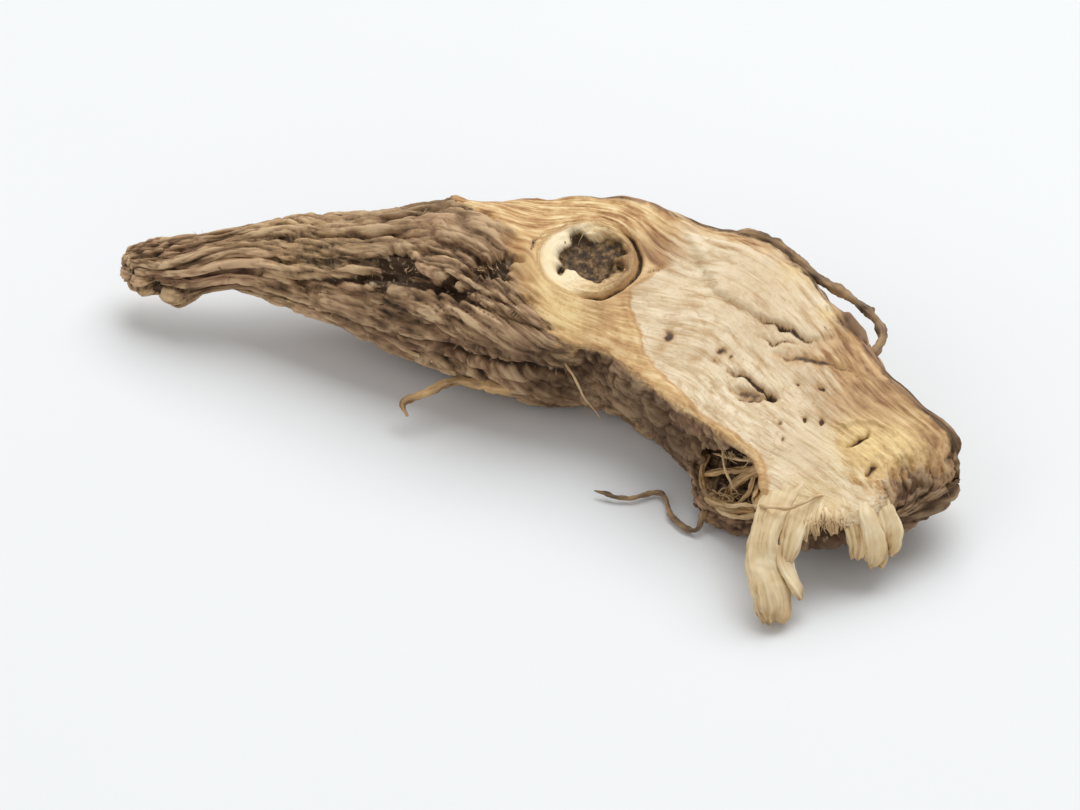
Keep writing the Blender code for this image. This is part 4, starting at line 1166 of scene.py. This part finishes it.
def hairs_tree():
    """Fine dry hairs, strewn over the bark of a mesh and lying nearly flat on it."""
    tree, plan, given = new_tree("hairs on bark", ("Density", "Length", "Thickness", "Bend"), ("Seed",))
    density = given["Density"] * (plan.read("bark") * 4 - 3).held()
    inputs = {"Mesh": given["Geometry"], "Density": density, "Seed": given["Seed"]}
    strewn = plan.add("GeometryNodeDistributePointsOnFaces", None, inputs)
    points, upright = Term(plan, strewn.outputs["Points"]), Term(plan, strewn.outputs["Rotation"])
    line = plan.out("GeometryNodeCurvePrimitiveLine", None, {"End": (0.0, 0.0, 1.0)})
    line = plan.out("GeometryNodeResampleCurve", None, {"Curve": line, "Count": 7})
    share = plan.out("GeometryNodeSplineParameter", output="Factor")
    bow = plan.out("ShaderNodeCombineXYZ", None, {0: share * share * given["Bend"], 1: share * 0.15})
    line = plan.moved(line, bow)
    ring = plan.out("GeometryNodeCurvePrimitiveCircle", {"mode": "RADIUS"}, {"Resolution": 4, "Radius": 1.0})
    slim = given["Thickness"] / given["Length"] * (1 - share * 0.7)
    inputs = {"Curve": line, "Profile Curve": ring, "Scale": slim, "Fill Caps": True}
    hair = plan.out("GeometryNodeCurveToMesh", None, inputs)

    def random(low, high, seed):
        inputs = {"Min": low, "Max": high, "Seed": seed}
        node = plan.add("FunctionNodeRandomValue", {"data_type": "FLOAT"})
        for socket in node.inputs:
            if socket.enabled and socket.name in inputs:
                plan.feed(socket, inputs[socket.name])
        return Term(plan, next(socket for socket in node.outputs if socket.enabled))

    def rotated(rotation, turn):
        inputs = {"Rotation": rotation, "Rotate By": turn}
        return plan.out("FunctionNodeRotateRotation", {"rotation_space": "LOCAL"}, inputs)

    spin = plan.out("ShaderNodeCombineXYZ", None, {2: random(0.0, 2 * math.pi, 1)})
    lean = plan.out("ShaderNodeCombineXYZ", None, {0: random(1.38, 1.55, 2)})
    turn = rotated(rotated(upright, spin), lean)
    size = given["Length"] * random(0.4, 1.2, 3)
    inputs = {"Points": points, "Instance": hair, "Rotation": turn, "Scale": size}
    hairs = plan.out("GeometryNodeInstanceOnPoints", None, inputs)
    whole = plan.out("GeometryNodeRealizeInstances", None, {"Geometry": hairs})
    plan.end_with(plan.above_floor(whole), given["Finish"])
    return tree


def with_nodes(thing, tree, **inputs):
    """Runs a geometry tree on thing and keeps the result as its plain mesh."""
    modifier = thing.modifiers.new(tree.name, "NODES")
    modifier.node_group = tree
    sockets = {item.name: item.identifier for item in tree.interface.items_tree if item.in_out == "INPUT"}
    for name, value in inputs.items():
        modifier[sockets[name.replace("_", " ")]] = value
    graph = bpy.context.evaluated_depsgraph_get()
    mesh = bpy.data.meshes.new_from_object(thing.evaluated_get(graph))
    mesh.name = thing.name
    thing.modifiers.remove(modifier)
    thing.data = mesh
    return thing


def line_object(name, rootlet):
    """A rootlet's smooth middle line as edges, each point with its radius."""
    length = sum(math.dist(a, b) for a, b in zip(rootlet.path, rootlet.path[1:]))
    count = max(8, round(length / 0.25))
    path = metres(smooth_through(rootlet.path, count))
    mesh = bpy.data.meshes.new(name)
    mesh.from_pydata(path.tolist(), [(i, i + 1) for i in range(count - 1)], [])
    radii = np.linspace(rootlet.thick, rootlet.thin, count) * MM
    mesh.attributes.new("thickness", "FLOAT", "POINT").data.foreach_set("value", radii.astype(np.float32))
    return new_object(name, mesh)


def new_material(name):
    """A material, the plan of its nodes and its main shader."""
    material = bpy.data.materials.new(name)
    material.use_nodes = True
    shader = material.node_tree.nodes["Principled BSDF"]
    return material, Plan(material.node_tree), shader


def finish_shader(plan, shader, colour, roughness, grit, strength, depth):
    """Gives a shader its colour, its roughness and a fine bump of grit, depth millimetres deep."""
    plan.feed(shader.inputs["Base Color"], colour)
    plan.feed(shader.inputs["Roughness"], roughness)
    bump = plan.out("ShaderNodeBump", None, {"Strength": strength, "Distance": depth * MM, "Height": grit})
    plan.feed(shader.inputs["Normal"], bump)


def attribute(plan, name, output="Fac"):
    """An attribute of the mesh in a material."""
    return plan.out("ShaderNodeAttribute", {"attribute_name": name}, output=output)


def bark_colours(plan, flow, relief, furrow):
    """Dry brown bark: dark furrows, partly their own colour and partly painted shade, tan backs and pinkish
    and grey patches.
    """
    far = attribute(plan, "far_side")
    place = plan.scaled(plan.out("ShaderNodeTexCoord", output="Object"), 1 / MM)
    patch = plan.noise(flow, 0.7, 3.0, stretch=(0.25, 0.8, 0.8)) * (1 - far)
    patch = patch + plan.noise(place, 0.7, 3.0, stretch=(0.5, 0.5, 0.8)) * far
    streak = plan.noise(flow, 1.3, 3.0, 0.6, stretch=(0.2, 3.0, 3.0)) * (1 - far)
    streak = streak + plan.noise(place, 1.3, 3.0, 0.6, stretch=(0.6, 0.6, 2.4)) * far
    # The colour follows the relief, so the low furrows get painted shade on top of the bark's own darker
    # brown.
    height = (relief * 0.85 + (1 - furrow) * 0.3 - 0.12 + (streak - 0.5) * 0.9 + (patch - 0.5) * 0.6).held()
    colour = plan.steps(
        height,
        (0.12, shade(38, 25, 15)),
        (0.38, shade(96, 71, 48)),
        (0.66, shade(153, 121, 89)),
        (0.95, shade(206, 176, 138)),
    )
    rosy = ((patch - 0.5) * 6).held() * 0.5
    return plan.mixed(rosy, colour, plan.mixed(height, shade(84, 55, 40), shade(204, 158, 126)))


def split_root_material():
    """Bark and split wood with the amber rim between them."""
    material, plan, shader = new_material("split root")
    flow = attribute(plan, "flow", "Vector")
    fine = plan.noise(flow, 2.6, 3.0, 0.6)
    coarse = plan.noise(flow, 0.8, 3.0, 0.6)
    streak = plan.noise(flow, 1.4, 3.0, 0.6, stretch=(0.22, 1.6, 1.6))
    from_rim = attribute(plan, "from_rim") + (fine - 0.5) * 0.8 + (coarse - 0.5) * 0.5
    tail = attribute(plan, "from_tail") + (streak - 0.5) * 4.5 + (fine - 0.5) * 1.5
    skin = (0.4 - from_rim * 2.4).held().or_more((tail * 1.3 + 0.4).held())

    bark = bark_colours(plan, flow, attribute(plan, "relief"), attribute(plan, "furrow"))
    # Painted shade and the bark's own darker brown where the dusky tone lies: the near walls, the undersides
    # and under the torn web's arch.
    dusk_and_shade_colour = plan.mixed((coarse * 1.6 - 0.3).held(), shade(26, 16, 9), shade(106, 78, 52))
    bark = plan.mixed((attribute(plan, "dusky") * 0.85).held(), bark, dusk_and_shade_colour)
    pale = attribute(plan, "pale") * (0.5 + (fine - 0.5) * 4)
    bark = plan.mixed(pale.held(), bark, shade(216, 182, 134))

    cream = plan.steps(
        streak,
        (0.32, shade(196, 166, 126)),
        (0.5, shade(227, 206, 171)),
        (0.68, shade(241, 224, 195)),
    )
    thread = plan.noise(flow, 1.0, 3.0, 0.6, stretch=(0.12, 4.0, 4.0))
    speck = ((fine - 0.56) * 7).held() * 0.58
    speck = speck.or_more(((thread - 0.55) * 9).held() * 0.55).or_more(((coarse - 0.52) * 6).held() * 0.5)
    stain = (attribute(plan, "stain") * (0.5 + (streak - 0.5) * 4 + (fine - 0.5) * 2)).held()
    stained = plan.mixed(streak, shade(160, 118, 72), shade(206, 168, 120))
    cream = plan.mixed(speck.or_more(stain * 0.85), cream, stained)
    crisp = attribute(plan, "crisp")
    from_cream = attribute(plan, "from_cream") + (fine - 0.5) * 0.3 + (streak - 0.5) * (1 - crisp) * 5
    outside = (0.5 - from_cream * (0.45 + crisp * 3.5)).held()
    border = (1 - abs(from_cream + 0.1) * 6).held() * crisp * 0.6
    gold = plan.steps(
        (streak * 1.2 + coarse * 0.6 + fine * 0.2 - 0.5).held(),
        (0.24, shade(136, 92, 54)),
        (0.4, shade(184, 138, 88)),
        (0.54, shade(216, 178, 124)),
        (0.72, shade(244, 220, 172)),
    )
    # The ring's colour follows its painted light: lighter towards its left as a painted highlight, darker
    # towards its right as painted shade.
    sound = attribute(plan, "sound") + (streak - 0.5) * 0.8 + (fine - 0.5) * 0.9
    ring = plan.steps(
        sound,
        (0.15, shade(156, 122, 82)),
        (0.5, shade(222, 190, 140)),
        (0.9, shade(255, 238, 202)),
    )
    gold = plan.mixed(crisp * 0.45, gold, plan.mixed(streak, shade(184, 140, 88), shade(232, 196, 142)))
    warm = (attribute(plan, "warm") * (0.8 + (coarse - 0.5) * 3)).held()
    yellow = (attribute(plan, "yellow") * (0.8 + (fine - 0.5) * 2)).held()
    wood = plan.mixed(outside, cream, gold)
    wood = plan.mixed(border, wood, shade(172, 128, 78))
    wood = plan.mixed(attribute(plan, "ring") * 0.85, wood, ring)
    uneven = ((streak + coarse - 1) * 2.4 + 0.5).held()
    wood = plan.mixed(warm * 0.8, wood, plan.mixed(uneven, shade(106, 70, 44), shade(200, 156, 108)))
    wood = plan.mixed(yellow * 0.8, wood, plan.mixed(streak, shade(226, 186, 116), shade(255, 236, 176)))

    colour = plan.mixed(skin, wood, bark)
    # Where the hollow attribute is high, in clefts, pits, cracks, pores, the scar's groove and the torn
    # pocket, the colour is browned and then darkened: painted shade in the recesses, over the own dark colour
    # of the cracks and pores.
    hollow = attribute(plan, "hollow")
    colour = plan.mixed((hollow * 2.2 - 0.15).held() * 0.6 * (1 - skin), colour, shade(186, 146, 96))
    dark = ((hollow - 0.42) * 3.2 + (fine - 0.5) * 1.6 * (hollow * 4).held()).held()
    deep = plan.steps(dark, (0.0, shade(150, 108, 62)), (0.45, shade(104, 70, 40)), (0.9, shade(74, 54, 37)))
    grains = ((plan.noise(flow, 3.2, 2.0) - 0.57) * 8).held() * skin * 0.7
    colour = plan.mixed(dark, colour, plan.mixed(grains, deep, shade(206, 184, 150)))
    place = plan.out("ShaderNodeTexCoord", output="Object")
    crumb = plan.noise(place, 1900.0, 4.0, 0.65)
    dead = plan.steps(crumb, (0.36, shade(44, 30, 17)), (0.5, shade(84, 62, 37)), (0.68, shade(154, 122, 80)))
    middle = attribute(plan, "dead")
    colour = plan.mixed((middle * 1.4 + (fine - 0.6) * 1.5 * middle).held(), colour, dead)
    roughness = (0.62 + skin * 0.16 + (fine - 0.5) * 0.3).held()
    shader.inputs["Specular IOR Level"].default_value = WOOD_SHINE
    threads = plan.noise(flow, 1.6, 3.0, stretch=(0.4, 4.0, 4.0))
    grit = plan.noise(flow, 7.0, 3.0, 0.6) * 0.6 + threads * 0.8
    finish_shader(plan, shader, colour, roughness, grit, 0.55, 0.12)
    return material


def torn_wood_material(name, brown):
    """Pale torn wood with fibres along it, browner at its tips and by a share all over."""
    material, plan, shader = new_material(name)
    flow = attribute(plan, "flow", "Vector")
    fibre = plan.noise(flow, 1.0, 3.0, 0.6, stretch=(0.25, 4.0, 4.0))
    patch = plan.noise(flow, 0.9, 2.0)
    tone = (fibre * 0.9 + patch * 0.5 - 0.2 - attribute(plan, "groove") * 0.25).held()
    colour = plan.steps(
        tone,
        (0.15, shade(156, 120, 78)),
        (0.32, shade(218, 190, 144)),
        (0.5, shade(233, 211, 171)),
        (0.75, shade(248, 233, 202)),
    )
    along = attribute(plan, "tip")
    base = ((0.45 - along) * 4).held() * 0.8
    colour = plan.mixed(base, colour, plan.mixed(fibre, shade(176, 138, 92), shade(236, 212, 170)))
    tip = ((along - 0.82) * 5 + (patch - 0.5) * 2).held() * ((along - 0.5) * 4).held()
    tanned = plan.mixed(((fibre - 0.5) * 2.4 + 0.5).held(), shade(104, 70, 38), shade(208, 166, 108))
    colour = plan.mixed((tip * 0.75 + brown * (0.6 + patch)).held(), colour, tanned)
    shader.inputs["Specular IOR Level"].default_value = WOOD_SHINE
    finish_shader(plan, shader, colour, (0.6 + (fibre - 0.5) * 0.3).held(), fibre, 0.5, 0.1)
    return material


def lip_bark_material():
    """Brown fibrous bark of the torn pocket's lip."""
    material, plan, shader = new_material("lip bark")
    flow = attribute(plan, "flow", "Vector")
    # bark_colours paints shade into the low relief of the lip as well.
    colour = bark_colours(plan, flow, attribute(plan, "relief") * 0.8, 0.4)
    grit = plan.noise(flow, 1.4, 3.0, stretch=(0.8, 4.0, 4.0))
    finish_shader(plan, shader, colour, 0.8, grit, 0.6, 0.12)
    return material


def rootlet_material(name, dark, light):
    """Wrinkled skin of a rootlet or fibre, between two colours."""
    material, plan, shader = new_material(name)
    flow = attribute(plan, "flow", "Vector")
    streak = plan.noise(flow, 1.5, 3.0, 0.6, stretch=(0.5, 3.0, 3.0))
    patch = plan.noise(flow, 0.5, 2.0)
    tone = ((streak - 0.5) * 1.6 + (patch - 0.5) * 2.2 + 0.5).held()
    roughness = (0.7 + (streak - 0.5) * 0.3).held()
    finish_shader(plan, shader, plan.mixed(tone, dark, light), roughness, streak, 0.5, 0.08)
    return material


def hair_material():
    """Dry hairs from brown to straw, each its own tone."""
    material, plan, shader = new_material("bark hair")
    place = plan.out("ShaderNodeTexCoord", output="Object")
    tone = ((plan.noise(place, 420.0, 2.0) - 0.4) * 4).held()
    plan.feed(shader.inputs["Base Color"], plan.mixed(tone, shade(84, 60, 40), shade(200, 168, 124)))
    plan.feed(shader.inputs["Roughness"], 0.6 + tone * 0.2)
    return material


def finish_piece(thing):
    """Declares thing as a piece of the root."""
    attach(thing, "root")
    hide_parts(NODE)


def relieved(piece, tree, relief, finish):
    with_nodes(
        piece,
        tree,
        Ridge_height=relief.ridges,
        Wrinkle_height=relief.wrinkles,
        Crumb_height=relief.crumbs,
        Grain_height=relief.grain,
        Seed=relief.seed,
        Finish=finish,
    )
    finish_piece(piece)


def build_body(tree):
    """The body and its hairs; gives back the points of its upper side."""
    points, flow, values = sculpt(Body())
    root = lofted("root_body", points, flow, values)
    relieved(root, tree, BODY_RELIEF, split_root_material())
    hairs = new_object("bark_hairs", root.data.copy())
    with_nodes(
        hairs,
        hairs_tree(),
        Density=HAIR_DENSITY,
        Length=HAIR_LENGTH * MM,
        Thickness=HAIR_THICKNESS * MM,
        Bend=0.5,
        Seed=5,
        Finish=hair_material(),
    )
    finish_piece(hairs)
    return points[:, :TOP_COLUMNS].reshape(-1, 3)


def build_strips(tree, skin):
    """The torn strips, the bundles in the pocket and the pocket's lip."""
    torn = torn_wood_material("torn wood", 0.0)
    stringy = torn_wood_material("stringy wood", 0.7)
    kinds = (
        (STRIPS, STRIP_RELIEF, torn),
        (POCKET_STRIPS, POCKET_RELIEF, stringy),
        (LIP_STRIPS, LIP_RELIEF, lip_bark_material()),
    )
    for strips, relief, finish in kinds:
        for strip in strips:
            relieved(strip_object(strip, skin), tree, relief, finish)


def build_rootlets():
    """The rootlets, the loose fibres and the frayed edges."""
    tree = rootlet_tree()
    brown = rootlet_material("rootlet skin", shade(54, 39, 28), shade(176, 142, 102))
    amber = rootlet_material("amber rootlet skin", shade(104, 74, 46), shade(218, 178, 124))
    pale = rootlet_material("pale fibre", shade(160, 124, 80), shade(226, 198, 154))
    skins = {"hooked_rootlet": amber, **{fibre.name: pale for fibre in FIBRES}}
    for rootlet in ROOTLETS + FIBRES:
        piece = line_object(rootlet.name, rootlet)
        with_nodes(
            piece,
            tree,
            Step=0.12 * MM,
            Waver=0.14 * MM,
            Unevenness=0.6,
            Taper=1.2 * MM,
            Wrinkle_height=0.6,
            Seed=float(len(rootlet.name)),
            Sides=14,
            Finish=skins.get(rootlet.name, brown),
        )
        finish_piece(piece)
    chance = np.random.default_rng(11)
    bundles = [(fray.name + "_fray", fray_lines(fray, chance), fray.radius) for fray in FRAYS]
    bundles.append(("scar_fray", scar_lines(chance), SCAR_FIBRE_RADIUS))
    for name, lines, radius in bundles:
        piece = fibre_bundle(name, lines, radius, chance)
        with_nodes(
            piece,
            tree,
            Step=0.12 * MM,
            Waver=0.05 * MM,
            Unevenness=0.4,
            Taper=0.3 * MM,
            Wrinkle_height=0.2,
            Seed=1.0,
            Sides=6,
            Finish=pale,
        )
        finish_piece(piece)


# The stage, in metres: the camera's height angle, distance and lens, what it looks at, and the soft lights
VIEW_HEIGHT = math.radians(40)
CAMERA_DISTANCE = 0.62
CAMERA_LENS = 320.0
AIM = Vector((0.0, 0.0, 0.0045))
FLOOR_HALF = 1.5
LIGHTS = (
    ("window_light", (0.16, 0.33, 0.66), 0.75, 5.35),
    ("side_fill", (-0.55, -0.35, 0.5), 0.6, 0.8),
    ("front_fill", (0.15, -0.6, 0.34), 0.6, 0.35),
)
LIGHT_COLOUR = (0.95, 0.98, 1.0)
ROOM_COLOUR, ROOM_STRENGTH = (1.0, 0.98, 0.95, 1.0), 0.45


def build_stage():
    """The pale floor, the soft lights and the camera at the photograph's angle."""
    mesh = bpy.data.meshes.new("floor")
    corners = [(x * FLOOR_HALF, y * FLOOR_HALF, 0.0) for x, y in ((-1, -1), (1, -1), (1, 1), (-1, 1))]
    mesh.from_pydata(corners, [], [(0, 1, 2, 3)])
    floor = new_object("floor", mesh)
    material, plan, shader = new_material("pale paper")
    place = plan.out("ShaderNodeTexCoord", output="Object")
    cloud = plan.noise(place, 30.0, 2.0)
    paper = plan.mixed(cloud, (0.80, 0.81, 0.82, 1.0), (0.82, 0.83, 0.84, 1.0))
    plan.feed(shader.inputs["Base Color"], paper)
    shader.inputs["Roughness"].default_value = 0.7
    shader.inputs["Specular IOR Level"].default_value = 0.2
    mesh.materials.append(material)

    for name, place, size, watts in LIGHTS:
        data = bpy.data.lights.new(name, "AREA")
        data.size, data.energy, data.color = size, watts, LIGHT_COLOUR
        light = bpy.data.objects.new(name, data)
        bpy.context.scene.collection.objects.link(light)
        light.location = place
        light.rotation_euler = (AIM - Vector(place)).to_track_quat("-Z", "Y").to_euler()

    world = bpy.data.worlds.new("pale room")
    world.use_nodes = True
    background = world.node_tree.nodes["Background"]
    background.inputs["Color"].default_value = ROOM_COLOUR
    background.inputs["Strength"].default_value = ROOM_STRENGTH
    bpy.context.scene.world = world

    data = bpy.data.cameras.new("camera")
    data.lens = CAMERA_LENS
    camera = bpy.data.objects.new("camera", data)
    bpy.context.scene.collection.objects.link(camera)
    back = Vector((0.0, -math.cos(VIEW_HEIGHT), math.sin(VIEW_HEIGHT)))
    camera.location = AIM + back * CAMERA_DISTANCE
    camera.rotation_euler = (-back).to_track_quat("-Z", "Y").to_euler()
    bpy.context.scene.camera = camera
    bpy.context.scene.view_settings.view_transform = "Standard"


relief_tree = bark_relief_tree()
build_strips(relief_tree, build_body(relief_tree))
build_rootlets()
build_stage()
